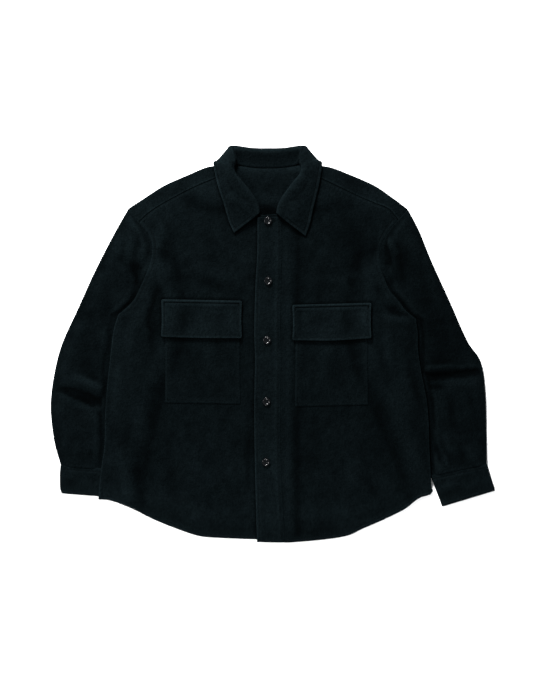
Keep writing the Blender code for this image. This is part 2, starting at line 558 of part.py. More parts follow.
def build_back():
    top = BACK_YOKE_Y - SEAM
    right, left = shift(armhole_points(-1), 0.2)[4:], shift(armhole_points(1), -0.2)[4:]
    right[0, 1] = left[0, 1] = top
    hem_right, hem_left = line(HEM_RIGHT, pitch=34.0), line(HEM_LEFT, pitch=34.0)
    hem = np.vstack([hem_right[hem_right[:, 0] < -45], hem_left[hem_left[:, 0] > -20]])
    hem[1:-1, 1] += 1.5
    across = np.array([(x, top) for x in np.linspace(left[0, 0], right[0, 0], 14)])
    loop = np.vstack([across[:-1], right[:-1], line(SIDE_RIGHT, pitch=40.0)[:-1], hem, line(SIDE_LEFT, pitch=40.0)[::-1][1:-1], left[::-1][:-1]])
    v, (faces,) = plan_mesh([loop], 44)
    layer("back", v, faces, bed, CLOTH)


def pocket_outline(k, piece):
    """A pocket bag's or flap's outline, level or tilted as the pocket is, its corners cut a little."""
    row = {n: POCKETS[n][k] for n in POCKETS}
    mid = (row["bag_x0"] + row["bag_x1"]) / 2
    if piece == "bag":
        x0, x1, y0, y1, corner, dip = row["bag_x0"], row["bag_x1"], row["bag_bottom"], row["bag_top"], 2.5, 0.0
    else:
        x0, x1, y1, corner = row["flap_x0"], row["flap_x1"], row["flap_top"], 3.0
        y0, dip = y1 - row["flap_side_drop"], row["flap_mid_drop"] - row["flap_side_drop"]
    xs, ys = np.linspace(x0 + corner, x1 - corner, 5), np.linspace(y0 + corner, y1 - corner, 3 if piece == "flap" else 6)
    p = np.array([(x, y0 - dip * smooth(1 - abs(2 * (x - x0) / (x1 - x0) - 1))) for x in xs] + [(x1, y) for y in ys]
                 + [(x, y1) for x in xs[::-1]] + [(x0, y) for y in ys[::-1]])
    p[:, 1] += (p[:, 0] - mid) * row["tilt"]
    return p


def sleeve_rise(side):
    tab, armhole, seam = (SLEEVE_RIGHT, ARMHOLE_RIGHT, SIDE_RIGHT) if side < 0 else (SLEEVE_LEFT, ARMHOLE_LEFT, SIDE_LEFT)
    outer = line(tab, 40, names=("out_x", "out_y"))

    def rise(x, y):
        body = edge_at(np.clip(y, -400, 268), armhole, seam)
        clear = side * (x - body)
        puff = smooth((clear - 13) / 20) * smooth(distance(x, y, outer, closed=False) / 26)
        return np.maximum((SLEEVE_PUFF + folds(SLEEVE_FOLDS, x, y)) * puff, 0)
    return rise


def across(row, side):
    """A straight ring's plan path: nine points over what shows, then one stretch under the body."""
    armhole, seam = (ARMHOLE_RIGHT, SIDE_RIGHT) if side < 0 else (ARMHOLE_LEFT, SIDE_LEFT)
    share = np.linspace(0, 1, 201)[:, None]
    path = row[:2] + (row[2:] - row[:2]) * share
    clear = side * (path[:, 0] - edge_at(path[:, 1], armhole, seam))
    shown = min(0.9, share[clear > 12.5].max())
    return row[:2] + (row[2:] - row[:2]) * np.append(np.linspace(0, shown, 9), 1.0)[:, None]


def build_sleeve(name, side):
    tab = SLEEVE_RIGHT if side < 0 else SLEEVE_LEFT
    rows = spline(np.stack([tab[n] for n in ("out_x", "out_y", "in_x", "in_y")], 1), 2)
    hole = shift(armhole_points(side), side * 0.2)[:9]
    first = np.vstack([hole, rows[:1, 2:]])
    even = np.linspace(0, 1, len(first))[:, None]
    full = 5                                                  # the first ring that is straight across
    straight = across(rows[full], side)
    outs, ins = [], []
    for k, r in enumerate(rows):
        path = across(r, side)
        if k < full:
            share = np.linalg.norm(r[:2] - rows[0, :2]) / np.linalg.norm(rows[full, :2] - rows[0, :2])
            path = first + (straight - first) * share
            path = path + (r[:2] - path[0]) * (1 - even) + (r[2:] - path[-1]) * even
        o, i = ring(path, SLEEVE_STACK, CLOTH, sleeve_rise(side))
        outs.append(o)
        ins.append(i)
    tube(name, outs, ins)


def build_cuff(name, side):
    tab = CUFF_RIGHT if side < 0 else CUFF_LEFT
    outs, ins = [], []
    for r in np.stack([tab[n] for n in ("out_x", "out_y", "in_x", "in_y")], 1):
        o, i = ring(r[:2] + (r[2:] - r[:2]) * np.linspace(0, 1, 4)[:, None], 2 * CUFF_CLOTH + 0.6, CUFF_CLOTH,
                    lambda x, y: np.zeros(np.shape(x)))
        outs.append(o)
        ins.append(i)
    tube(name, outs, ins)


def build_button(k):
    """A disc with a raised rim, a hollow middle and four through holes."""
    x, y = BUTTONS["x"][k], BUTTONS["y"][k]

    def circle(cx, cy, radius, count):
        turn = np.arange(count) / count * 2 * np.pi
        return np.stack([cx + radius * np.cos(turn), cy + radius * np.sin(turn)], 1)

    rims = [circle(0, 0, radius, 24) for radius in (BUTTON_D / 2, BUTTON_D / 2 - 1.1, BUTTON_D / 2 - 2.6)]
    holes = [circle(sx * BUTTON_PITCH / 2, sy * BUTTON_PITCH / 2, BUTTON_HOLE_D / 2, 8) for sx, sy in ((1, 1), (-1, 1), (-1, -1), (1, -1))]
    v, groups = plan_mesh(rims + holes, 40)
    open_faces = {f for g in groups[3:] for f in g}
    faces = [f for f in groups[0] if f not in open_faces]
    used = np.unique([i for f in faces for i in f])
    index = {int(i): n for n, i in enumerate(used)}
    v, faces = v[used], [tuple(index[int(i)] for i in f) for f in faces]
    r = np.hypot(v[:, 0], v[:, 1])
    high = np.where(r > BUTTON_D / 2 - 0.3, BUTTON_T - 0.8, np.where(r > BUTTON_D / 2 - 1.8, BUTTON_T, BUTTON_T - 1.1))
    base = float(body_top(x, y)) + REST
    low = base + np.where(r > BUTTON_D / 2 - 0.3, 0.8, 0.0)
    p, n = v + np.array([x, y]), len(v)
    node(f"button_{k + 1}", np.vstack([np.column_stack([p, base + high]), np.column_stack([p, low])]),
         faces + [tuple(i + n for i in f[::-1]) for f in faces] + walls(faces, n), GLOSS, rough=0.18, sheen=0.0)


build_back()
build_yoke()
build_fronts()
build_collar()
for name, side in (("right", -1), ("left", 1)):
    build_sleeve("sleeve_" + name, side)
    build_cuff("cuff_" + name, side)
for k in range(len(BUTTONS["x"])):
    build_button(k)

# the origin is under the middle of the garment's box
corners = np.array([tuple(o.matrix_world @ Vector(c)) for o in bpy.data.objects if o.type == "MESH" for c in o.bound_box])
middle = (corners.min(0) + corners.max(0)) / 2
for o in bpy.data.objects:
    if o.type == "MESH":
        for vert in o.data.vertices:
            vert.co.x -= middle[0]
            vert.co.y -= middle[1]
            vert.co.z -= corners.min(0)[2]
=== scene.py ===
"""The looks of a thick brushed-wool overshirt lying flat on its back.

Every piece of cloth is a fine closed shell on the form of its solid: rounded turned edges, stitched grooves with their
thread, and creases placed one by one. Lengths in this script are millimetres until a mesh is written.
"""

import bpy
import numpy as np
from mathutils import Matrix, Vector
from mathutils.geometry import delaunay_2d_cdt


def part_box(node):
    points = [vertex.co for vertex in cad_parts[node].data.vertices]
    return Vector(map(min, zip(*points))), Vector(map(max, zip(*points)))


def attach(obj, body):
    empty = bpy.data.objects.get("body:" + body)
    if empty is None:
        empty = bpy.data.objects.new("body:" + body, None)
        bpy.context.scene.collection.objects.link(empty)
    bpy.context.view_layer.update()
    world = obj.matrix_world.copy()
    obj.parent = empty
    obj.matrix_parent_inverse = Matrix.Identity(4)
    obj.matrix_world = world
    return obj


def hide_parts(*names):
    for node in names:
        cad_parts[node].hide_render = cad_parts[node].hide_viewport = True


MM = 0.001
# ---------------------------------------------------------------- sizes shared with the solids
CLOTH, DOUBLED, CUFF_CLOTH, SEAM, REST = 2.0, 3.0, 2.3, 0.3, 0.4
AIR_MID, AIR_SIDE, AIR_ARMHOLE = 2.6, 0.4, 1.0
SLEEVE_STACK, SLEEVE_PUFF, SIDE_BED, COLLAR_BED = 5.0, 3.2, 5.8, 3.8
MID_X, BACK_YOKE_Y, PLACKET_WIDTH, CROSSING_Y = -10.5, 206.0, 51.0, 128.0
UNDER_LAP, LAP_REST = 11.0, 0.8
BUTTON_D, BUTTON_T, BUTTON_HOLE_D, BUTTON_PITCH = 15.5, 3.2, 1.7, 3.4
PX = 1.98                                            # millimetres to a pixel of the frame
FRAME_W, FRAME_H = 540, 675
LOOK_X, LOOK_Y = (270.0 - 272.8) * PX, (343.9 - 337.5) * PX   # the frame's middle

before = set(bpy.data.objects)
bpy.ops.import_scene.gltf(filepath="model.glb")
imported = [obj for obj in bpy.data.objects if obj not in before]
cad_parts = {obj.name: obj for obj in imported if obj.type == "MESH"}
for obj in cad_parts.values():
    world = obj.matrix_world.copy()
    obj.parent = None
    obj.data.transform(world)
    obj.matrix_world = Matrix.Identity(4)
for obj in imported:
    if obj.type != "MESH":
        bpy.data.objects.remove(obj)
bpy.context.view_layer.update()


def table(columns, *rows):
    """Rows of numbers under named columns."""
    return {name: np.array([row[i] for row in rows], float) for i, name in enumerate(columns.split())}



# ---------------------------------------------------------------- outlines, a row for each point that shapes them
ARMHOLE_RIGHT = table("x y", (-285, 267), (-265, 241), (-247, 221), (-239, 196), (-241, 162), (-251, 136), (-260, 115),
                      (-275, 85), (-291, 69), (-305, 57))
ARMHOLE_LEFT = table("x y", (266, 265), (247, 245), (234, 231), (223, 212), (212, 190), (211, 154), (218, 133), (229, 106),
                     (250, 81), (267, 59), (281, 49))
SIDE_RIGHT = table("x y", (-305, 57), (-314, 26), (-320, -22), (-328, -99), (-331, -151), (-332, -200), (-340, -260), (-344, -307))
SIDE_LEFT = table("x y", (281, 49), (285, 22), (286, -14), (292, -55), (303, -112), (307, -165), (308, -202), (312, -278), (315, -290))
HEM_RIGHT = table("x y", (-344, -307), (-320, -309), (-283, -323), (-233, -348), (-180, -369), (-144, -380), (-108, -383),
                  (-63, -385), (-31, -386), (11, -386))
HEM_LEFT = table("x y", (-30, -391), (32, -392), (105, -386), (149, -378), (177, -365), (212, -350), (259, -327), (278, -312),
                 (291, -303), (310, -297), (315, -290))
SHOULDER_RIGHT = table("x y", (-285, 267), (-251, 289), (-213, 313), (-160, 336), (-130, 348), (-101, 352), (-80, 356))
SHOULDER_LEFT = table("x y", (266, 265), (234, 289), (198, 313), (145, 336), (111, 348), (80, 352), (59, 356))
YOKE_SEAM_RIGHT = table("x y", (-265, 241), (-242, 261), (-215, 278), (-162, 306), (-122, 323), (-91, 336))
YOKE_SEAM_LEFT = table("x y", (247, 245), (228, 266), (194, 280), (152, 299), (101, 323), (70, 336))

# ---------------------------------------------------------------- sleeves and cuffs, a row for each section across the arm
SLEEVE_RIGHT = table("out_x out_y in_x in_y", (-285, 267, -241, 121), (-314, 216, -235, 99), (-352, 142, -228, 61),
                     (-385, 69, -235, 14), (-417, -2, -251, -34), (-433, -66, -269, -81), (-439, -127, -285, -135),
                     (-432, -192, -299, -198), (-419, -239, -309, -248))
SLEEVE_LEFT = table("out_x out_y in_x in_y", (266, 265, 208, 119), (288, 223, 204, 93), (312, 164, 198, 55), (347, 87, 205, 4),
                    (383, 6, 224, -48), (410, -36, 244, -91), (419, -97, 266, -139), (421, -167, 289, -194),
                    (422, -236, 310, -259))
CUFF_RIGHT = table("out_x out_y in_x in_y", (-419.6, -239.4, -308.8, -248.4), (-421, -254, -308.5, -263), (-421, -276, -309.5, -285),
                   (-420.5, -288, -310, -297), (-417, -295.5, -312, -303.5))
CUFF_LEFT = table("out_x out_y in_x in_y", (422.2, -236.4, 310.2, -259.4), (426.5, -251, 316, -275), (432.5, -271, 324.5, -297),
                  (437, -283, 330.5, -313), (438, -290, 333.5, -321.5))

# ---------------------------------------------------------------- collar, a row for each section round the right half
# neck: the neck seam; roll: the inner side of the fold; bend: its top or outer side; turn and edge: down the fall
COLLAR = table("neck_x neck_y neck_z roll_x roll_y roll_z bend_x bend_y bend_z turn_x turn_y turn_z edge_x edge_y edge_z",
               (-32, 257, 5.6, -27, 258, 11.5, -29, 255, 15.4, -41, 245, 14.0, -77, 218, 8.6),
               (-50, 270, 5.8, -32, 277, 9.6, -35, 274, 13.6, -56, 257, 12.6, -87, 241, 9.0),
               (-69, 291, 6.8, -46, 299, 10.4, -49.5, 296.5, 14.6, -72, 282, 13.6, -96, 272, 10.6),
               (-86, 315, 8.6, -61, 318, 12.2, -65, 315.5, 16.4, -88, 307, 15.2, -106, 302, 12.4),
               (-86, 336, 9.4, -74.5, 335, 14.2, -79, 333.5, 18.0, -97, 328.5, 16.0, -112, 324, 12.6),
               (-76, 351, 8.0, -78, 351, 15.0, -86, 352, 18.2, -105, 358, 15.0, -117.5, 355.5, 10.8),
               (-72, 355, 5.4, -74, 364, 16.0, -89, 368, 14.5, -106, 364, 7.5, -108, 353, 2.0),
               (-66, 353, 5.2, -77, 378, 15.0, -88, 382, 11.5, -93, 378, 4.0, -96, 342, 1.5),
               (-58, 351, 5.2, -73, 384, 13.4, -79.5, 389.5, 7.5, -79, 385, 2.2, -77, 324, 1.5),
               (-37, 348, 5.2, -40, 381, 12.8, -42, 384.6, 7.0, -42, 380, 2.0, -44, 316, 1.5),
               (-10.5, 347, 5.2, -10.5, 379, 12.6, -10.5, 384.0, 7.0, -10.5, 379, 2.0, -10.5, 313, 1.5))
LEFT_LEAF_LEAN_X, LEFT_LEAF_LEAN_Y = 8.0, -6.0   # how far the left leaf's point leans out and down

# ---------------------------------------------------------------- pockets (x0 is the side nearer the wearer's right)
POCKETS = table("side bag_x0 bag_x1 bag_top bag_bottom flap_x0 flap_x1 flap_top flap_side_drop flap_mid_drop tilt",
                (-1, -213, -64, 79, -117.5, -220, -61, 86, 74, 75, -0.017),
                (1, 43, 188, 73, -122, 38, 193.5, 78.5, 70, 72.5, 0.026))
BUTTONS = table("x y", (-10, 242), (-9.5, 123.5), (-12, 7), (-13, -114), (-14, -233))

# ---------------------------------------------------------------- largest folds: a soft ridge (+) or trough (-) along a line
BODY_FOLDS = table("x0 y0 x1 y1 half height", (-244, 225, -240, 150, 22, 1.2), (-238, 150, -262, 70, 26, 1.1),
                   (-222, 110, -226, -30, 18, -1.3), (-262, 20, -270, -150, 24, 1.0), (-150, 250, -120, 120, 30, 0.8),
                   (160, 240, 175, 120, 22, -1.2), (200, 235, 204, 100, 18, 1.2), (228, 62, 268, 58, 9, -1.6),
                   (238, 30, 262, -150, 24, 0.9), (-180, -180, -150, -330, 36, 0.8), (120, -180, 150, -330, 36, 0.8),
                   (60, 60, 66, -120, 20, -0.7))
SLEEVE_FOLDS = table("x0 y0 x1 y1 half height", (-420, -86, -330, -118, 13, -3.0), (-395, -62, -334, -98, 13, 2.2),
                     (-280, 148, -262, 112, 15, -2.2), (-300, 215, -330, 90, 24, 1.2), (-380, -150, -370, -215, 20, 0.9),
                     (296, -62, 408, -60, 12, -3.0), (290, -50, 366, -50, 10, 2.4), (224, 190, 246, 100, 20, -2.4),
                     (262, 215, 300, 100, 24, 1.2), (350, -130, 362, -215, 22, 0.9))


# ---------------------------------------------------------------- small tools
def smooth(v):
    v = np.clip(v, 0.0, 1.0)
    return v * v * (3.0 - 2.0 * v)


def spline(points, per_span):
    """A Catmull-Rom curve through points (n, k), per_span steps between two of them."""
    p = np.asarray(points, float)
    ends = np.vstack([2 * p[0] - p[1], p, 2 * p[-1] - p[-2]])
    out = []
    for i in range(len(p) - 1):
        a, b, c, d = ends[i:i + 4]
        for t in np.arange(per_span) / per_span:
            out.append(0.5 * (2 * b + (c - a) * t + (2 * a - 5 * b + 4 * c - d) * t ** 2 + (3 * b - a - 3 * c + d) * t ** 3))
    return np.array(out + [p[-1]])


def respace(points, count):
    """count points at equal steps along a polyline."""
    p = np.asarray(points, float)
    s = np.concatenate([[0], np.cumsum(np.linalg.norm(np.diff(p, axis=0), axis=1))])
    t = np.linspace(0, s[-1], count)
    return np.stack([np.interp(t, s, p[:, k]) for k in range(p.shape[1])], 1)


def line(tab, count=None, pitch=20.0, names=("x", "y")):
    """The smooth line through a table's points, evenly spaced."""
    fine = spline(np.stack([tab[n] for n in names], 1), 8)
    length = np.linalg.norm(np.diff(fine, axis=0), axis=1).sum()
    return respace(fine, count or max(2, int(round(length / pitch)) + 1))


def shift(points, amount):
    """A polyline moved sideways, to its left when amount is positive."""
    p = np.asarray(points, float)
    d = np.gradient(p, axis=0)
    n = np.stack([-d[:, 1], d[:, 0]], 1) / np.linalg.norm(d, axis=1)[:, None]
    return p + n * np.asarray(amount).reshape(-1, 1) if np.ndim(amount) else p + n * amount


def distance(px, py, loop, closed=True):
    """Distance from points to a polyline."""
    a = np.asarray(loop, float)
    b = np.roll(a, -1, axis=0) if closed else a[1:]
    a = a if closed else a[:-1]
    q = np.stack([np.ravel(px), np.ravel(py)], 1)[:, None, :]
    ab = (b - a)[None]
    t = np.clip(((q - a[None]) * ab).sum(-1) / np.maximum((ab ** 2).sum(-1), 1e-9), 0, 1)
    return np.linalg.norm(q - (a[None] + t[..., None] * ab), axis=-1).min(1).reshape(np.shape(px))


def inside(px, py, loop):
    a = np.asarray(loop, float)
    b = np.roll(a, -1, axis=0)
    x, y = np.ravel(px)[:, None], np.ravel(py)[:, None]
    cross = (a[:, 1] > y) != (b[:, 1] > y)
    at = a[:, 0] + (y - a[:, 1]) * (b[:, 0] - a[:, 0]) / np.where(b[:, 1] == a[:, 1], 1e-9, b[:, 1] - a[:, 1])
    return ((cross & (x < at)).sum(1) % 2 == 1).reshape(np.shape(px))


def folds(tab, x, y):
    """The summed height of soft folds; each fades out over the last third of its line."""
    z = np.zeros(np.shape(x))
    for x0, y0, x1, y1, half, height in zip(*(tab[n] for n in ("x0", "y0", "x1", "y1", "half", "height"))):
        length = np.hypot(x1 - x0, y1 - y0)
        ux, uy = (x1 - x0) / length, (y1 - y0) / length
        along = (x - x0) * ux + (y - y0) * uy
        off = (x - x0) * -uy + (y - y0) * ux
        ends = smooth((along + half) / (0.35 * length + half)) * smooth((length + half - along) / (0.35 * length + half))
        z = z + height * np.exp(-(off / half) ** 2) * ends
    return z


def edge_at(y, armhole, side):
    """The body's outline at height y: the armhole above the underarm, the side seam below it."""
    ys = np.concatenate([armhole["y"], side["y"][1:]])[::-1]
    xs = np.concatenate([armhole["x"], side["x"][1:]])[::-1]
    return np.interp(y, ys, xs)


# ---------------------------------------------------------------- the heights of the layers
def bed(x, y):
    """What the back lies on: the surface, a sleeve at each side, the collar's fall at the neck."""
    x, y = np.asarray(x, float), np.asarray(y, float)
    high = np.zeros(np.shape(x))
    for tab, cuff, out in ((SLEEVE_RIGHT, CUFF_RIGHT, -1), (SLEEVE_LEFT, CUFF_LEFT, 1)):
        start = [[tab["in_x"][0], tab["in_y"][0] + 10]]
        inner = np.vstack([start, np.stack([tab["in_x"], tab["in_y"]], 1), np.stack([cuff["in_x"], cuff["in_y"]], 1)])
        on = (out * (x - np.interp(-y, -inner[:, 1], inner[:, 0])) > 0) & (y < inner[0, 1])
        d = np.where(on, 0.0, distance(x, y, inner, closed=False))
        high = np.maximum(high, SIDE_BED * (1 - smooth((d - 14) / 46)))
    q = (((x - MID_X) / 122) ** 4 + ((y - 350) / 64) ** 4) ** 0.25
    return np.maximum(high, COLLAR_BED * (1 - smooth((q - 1.0) / 0.45)))


def air(x, y):
    """The gap between front and back."""
    x, y = np.asarray(x, float), np.asarray(y, float)
    left, right = edge_at(y, ARMHOLE_RIGHT, SIDE_RIGHT), edge_at(y, ARMHOLE_LEFT, SIDE_LEFT)
    d = np.maximum(np.minimum(x - left, right - x), 0)
    hem = y - np.interp(x, np.concatenate([HEM_RIGHT["x"][:-2], HEM_LEFT["x"]]), np.concatenate([HEM_RIGHT["y"][:-2], HEM_LEFT["y"]]))
    at_edge = AIR_SIDE + (AIR_ARMHOLE - AIR_SIDE) * np.maximum(smooth((y - 55) / 40), smooth(d / 50))
    grow = smooth(d / 42) * smooth(np.maximum(hem, 0) / 60)
    return at_edge + (AIR_MID - at_edge + np.clip(folds(BODY_FOLDS, x, y), -1.6, 1.3)) * grow


def lap(x):
    """1 where the left front lies on the right one."""
    return 1 - smooth((x - 26) / 26)


def under_front_low(x, y):
    return bed(x, y) + CLOTH + air(x, y)


def over_front_low(x, y):
    return under_front_low(x, y) + (CLOTH + LAP_REST) * lap(x)


def body_top(x, y):
    """The top of the cloth body, with the left front's placket."""
    under = under_front_low(x, y) + CLOTH
    over = over_front_low(x, y) + CLOTH
    band = (DOUBLED + SEAM) * (1 - smooth((x - 18) / 6))
    left_front = smooth((x + 44) / 8) * smooth((268 + 0.6 * np.maximum(x + 20, 0) - y) / 10)
    return under + (over + band - under) * left_front



# ---------------------------------------------------------------- creases placed one by one: a ridge (+) or a trough (-) along a line
# on the fronts
FRONT_CREASES = table("x0 y0 x1 y1 half height",
    (-218, 240, -236, 165, 11, 0.9), (-240, 160, -268, 80, 13, 1.0), (-205, 232, -212, 150, 16, -0.5),
    (-222, 120, -238, 30, 13, -1.3), (-236, 70, -243, -10, 12, -0.8), (-240, -70, -228, -150, 26, -0.8),
    (-262, 60, -300, -20, 16, 0.7), (-300, -20, -318, -150, 14, 0.6), (-190, 170, -120, 190, 16, 0.5),
    (-180, 158, -60, 124, 16, 0.6), (-170, 135, -70, 100, 15, -0.6), (-120, 240, -100, 190, 12, 0.5),
    (-140, 262, -60, 215, 14, -0.4), (-270, -120, -250, -210, 16, 0.6), (-300, -210, -288, -300, 13, 0.7),
    (-270, -240, -262, -315, 12, -0.7), (-220, -190, -196, -300, 18, -0.5), (-150, -150, -60, -190, 22, -0.5),
    (-190, -230, -60, -262, 24, 0.5), (-90, -140, -84, -300, 16, 0.4), (-46, -120, -50, -320, 9, -0.5),
    (-120, -60, -70, -44, 14, 0.5), (-130, 30, -128, -40, 14, 0.4), (-198, -60, -204, -110, 10, 0.4),
    (214, 240, 210, 150, 9, 0.9), (206, 148, 236, 76, 12, 1.0), (186, 226, 184, 120, 24, -0.25),
    (180, 190, 150, 90, 18, -0.4), (120, 220, 90, 160, 16, 0.4), (90, 210, 60, 130, 14, -0.5),
    (60, 120, 190, 138, 14, 0.5), (262, 58, 220, 74, 8, -0.9), (268, 46, 214, 52, 9, 0.8),
    (222, 36, 232, -60, 12, 0.7), (206, -20, 212, -150, 20, -0.6), (236, -60, 262, -170, 16, 0.7),
    (262, -20, 286, -120, 11, -0.6), (190, -90, 230, -240, 24, -0.4), (140, -160, 160, -300, 22, 0.6),
    (90, -140, 60, -300, 20, -0.5), (40, -120, 44, -330, 12, -0.3), (60, -200, 130, -230, 18, 0.4),
    (200, -250, 240, -320, 18, 0.6), (270, -200, 290, -290, 12, -0.5), (110, 10, 100, -80, 16, 0.5),
    (70, -20, 66, -100, 10, 0.4), (160, 0, 164, -70, 10, -0.4), (30, 236, 34, 120, 7, -0.4))
# on the pockets' flaps: soft dents and bulges
FLAP_CREASES = table("x0 y0 x1 y1 half height",
    (-205, 60, -196, 28, 10, 0.5), (-176, 62, -170, 30, 11, -0.2), (-140, 66, -134, 24, 13, 0.6), (-108, 62, -104, 30, 9, -0.2),
    (-84, 66, -78, 26, 9, 0.7), (60, 60, 62, 26, 10, 0.5), (92, 62, 90, 30, 11, -0.2), (122, 64, 124, 26, 12, 0.6),
    (152, 66, 156, 32, 10, -0.2), (178, 66, 180, 28, 7, 0.8))
# on the sleeves
ARM_CREASES = table("x0 y0 x1 y1 half height",
    # image-left sleeve: head, hollow beside the armhole, elbow
    (-272, 236, -300, 150, 13, 0.8), (-292, 216, -300, 148, 9, -0.8), (-262, 214, -276, 160, 9, -0.7),
    (-274, 160, -252, 118, 12, -1.7), (-300, 158, -270, 118, 9, 0.6), (-262, 110, -300, 62, 10, 0.8),
    (-345, 110, -352, 40, 15, 0.7), (-322, 92, -330, 20, 13, -0.8), (-368, 60, -392, -20, 13, 0.6),
    (-372, -20, -352, -80, 16, -0.8), (-400, -10, -412, -60, 11, 0.5), (-330, -10, -338, -70, 14, -0.7),
    (-392, -64, -330, -92, 8, 1.3), (-424, -88, -330, -122, 8, -2.2), (-418, -104, -352, -132, 9, 0.8),
    (-372, -110, -332, -148, 8, -0.9), (-338, -128, -334, -184, 8, -0.9), (-396, -128, -404, -200, 12, 0.6),
    (-372, -150, -376, -212, 10, -0.5), (-352, -170, -346, -226, 9, 0.6), (-420, -150, -424, -210, 8, -0.4),
    (-386, -196, -392, -236, 7, 0.5), (-360, -208, -358, -240, 6, -0.5),
    # image-right sleeve
    (222, 222, 232, 186, 6, 1.0), (218, 204, 232, 150, 7, -1.8), (232, 204, 246, 172, 6, 0.9),
    (244, 196, 262, 110, 9, -0.8), (262, 214, 286, 140, 10, 0.8), (280, 190, 306, 100, 11, -0.6),
    (300, 150, 330, 60, 13, 0.6), (262, 96, 300, 40, 11, 0.7), (286, 58, 300, -20, 13, -1.0),
    (330, 60, 352, -10, 14, -0.7), (366, 30, 384, -30, 10, 0.6), (312, 20, 322, -40, 11, 0.6),
    (296, -50, 362, -44, 6, 1.3), (366, -48, 404, -44, 7, 0.8), (294, -66, 346, -62, 8, -2.0),
    (346, -62, 410, -54, 7, -2.0), (300, -84, 340, -84, 9, -1.0), (352, -76, 404, -82, 9, 0.7),
    (372, -92, 386, -150, 9, 0.6), (330, -92, 336, -150, 9, 0.6), (350, -100, 356, -176, 10, -0.9),
    (312, -92, 318, -176, 7, -0.8), (396, -110, 402, -190, 9, -0.5), (336, -170, 352, -222, 8, 0.8),
    (322, -196, 330, -240, 5, -0.9), (366, -190, 376, -238, 8, -0.7), (388, -196, 394, -232, 6, 0.5),
    (338, -216, 344, -246, 4, 0.7))
# similar ones on the hidden side, lifted off the surface
BACK_CREASES = table("x0 y0 x1 y1 half height",
    (-170, 190, -150, 60, 16, 0.9), (-90, 150, -110, -60, 20, 0.8), (30, 190, 20, 40, 18, 0.8), (110, 170, 140, 20, 16, 0.9),
    (-30, 20, -60, -180, 22, 0.9), (80, -40, 60, -240, 20, 0.8), (-180, -60, -160, -260, 22, 0.9), (170, -80, 190, -260, 20, 0.9),
    (-120, -210, -100, -350, 16, 0.8), (20, -230, 30, -370, 18, 0.8), (-250, -160, -240, -300, 14, 0.8), (120, -260, 140, -350, 14, 0.7))


# painted light and shade: paler (+) or darker (-) soft patches
PAINTED_LIGHT_PATCHES = table("x y wide high gain",
    (-273, 132, 20, 30, -0.35), (-237, 27, 14, 55, -0.22), (-367, -110, 46, 11, -0.35), (-378, -180, 40, 40, -0.06),
    (312, 60, 45, 85, -0.26), (258, 163, 24, 42, -0.35), (351, -24, 55, 50, -0.24), (312, -80, 24, 30, -0.28),
    (352, -160, 60, 50, -0.12), (164, 200, 60, 56, -0.20), (-200, 212, 36, 30, 0.10), (-289, -195, 26, 46, -0.16),
    (-262, -40, 18, 70, -0.12), (-285, -297, 50, 26, 0.26), (-150, -346, 80, 26, 0.20), (164, -337, 80, 30, 0.22),
    (262, -300, 40, 24, 0.22), (-8, -290, 24, 95, 0.16), (-8, -40, 24, 60, 0.10), (-8, 130, 24, 90, 0.06), (-232, 267, 60, 22, 0.38),
    (-148, 312, 60, 22, 0.40), (185, 288, 70, 22, 0.26), (-312, 7, 12, 60, 0.24), (-318, -150, 10, 90, 0.16),
    (285, -40, 12, 60, 0.14), (-400, 20, 30, 90, 0.06), (-60, 190, 40, 60, 0.06), (60, -180, 60, 60, -0.08),
    (220, -150, 40, 70, -0.06), (-110, -180, 60, 60, 0.03), (-10, -290, 270, 80, 0.15), (-140, 48, 84, 36, 0.18),
    (116, 42, 84, 34, 0.20), (-10, 300, 42, 46, -0.12), (-378, 60, 40, 80, -0.18), (-12, 247, 24, 9, -0.42), (-94, 362, 20, 28, 0.20), (76, 362, 20, 28, 0.16))
CREASE_GAIN = 2.2
COLLAR_TUCKS = [[(-80, 391), (-75, 372), (-72.5, 354)], [(61, 391), (54, 372), (50.5, 354)]]


def creases(tab, x, y):
    """Small creases are kept soft, and the main ones stand out."""
    high = tab["height"]
    return folds({**tab, "height": CREASE_GAIN * high * np.minimum(np.abs(high) / 1.3, 1.0) ** 0.7}, x, y)


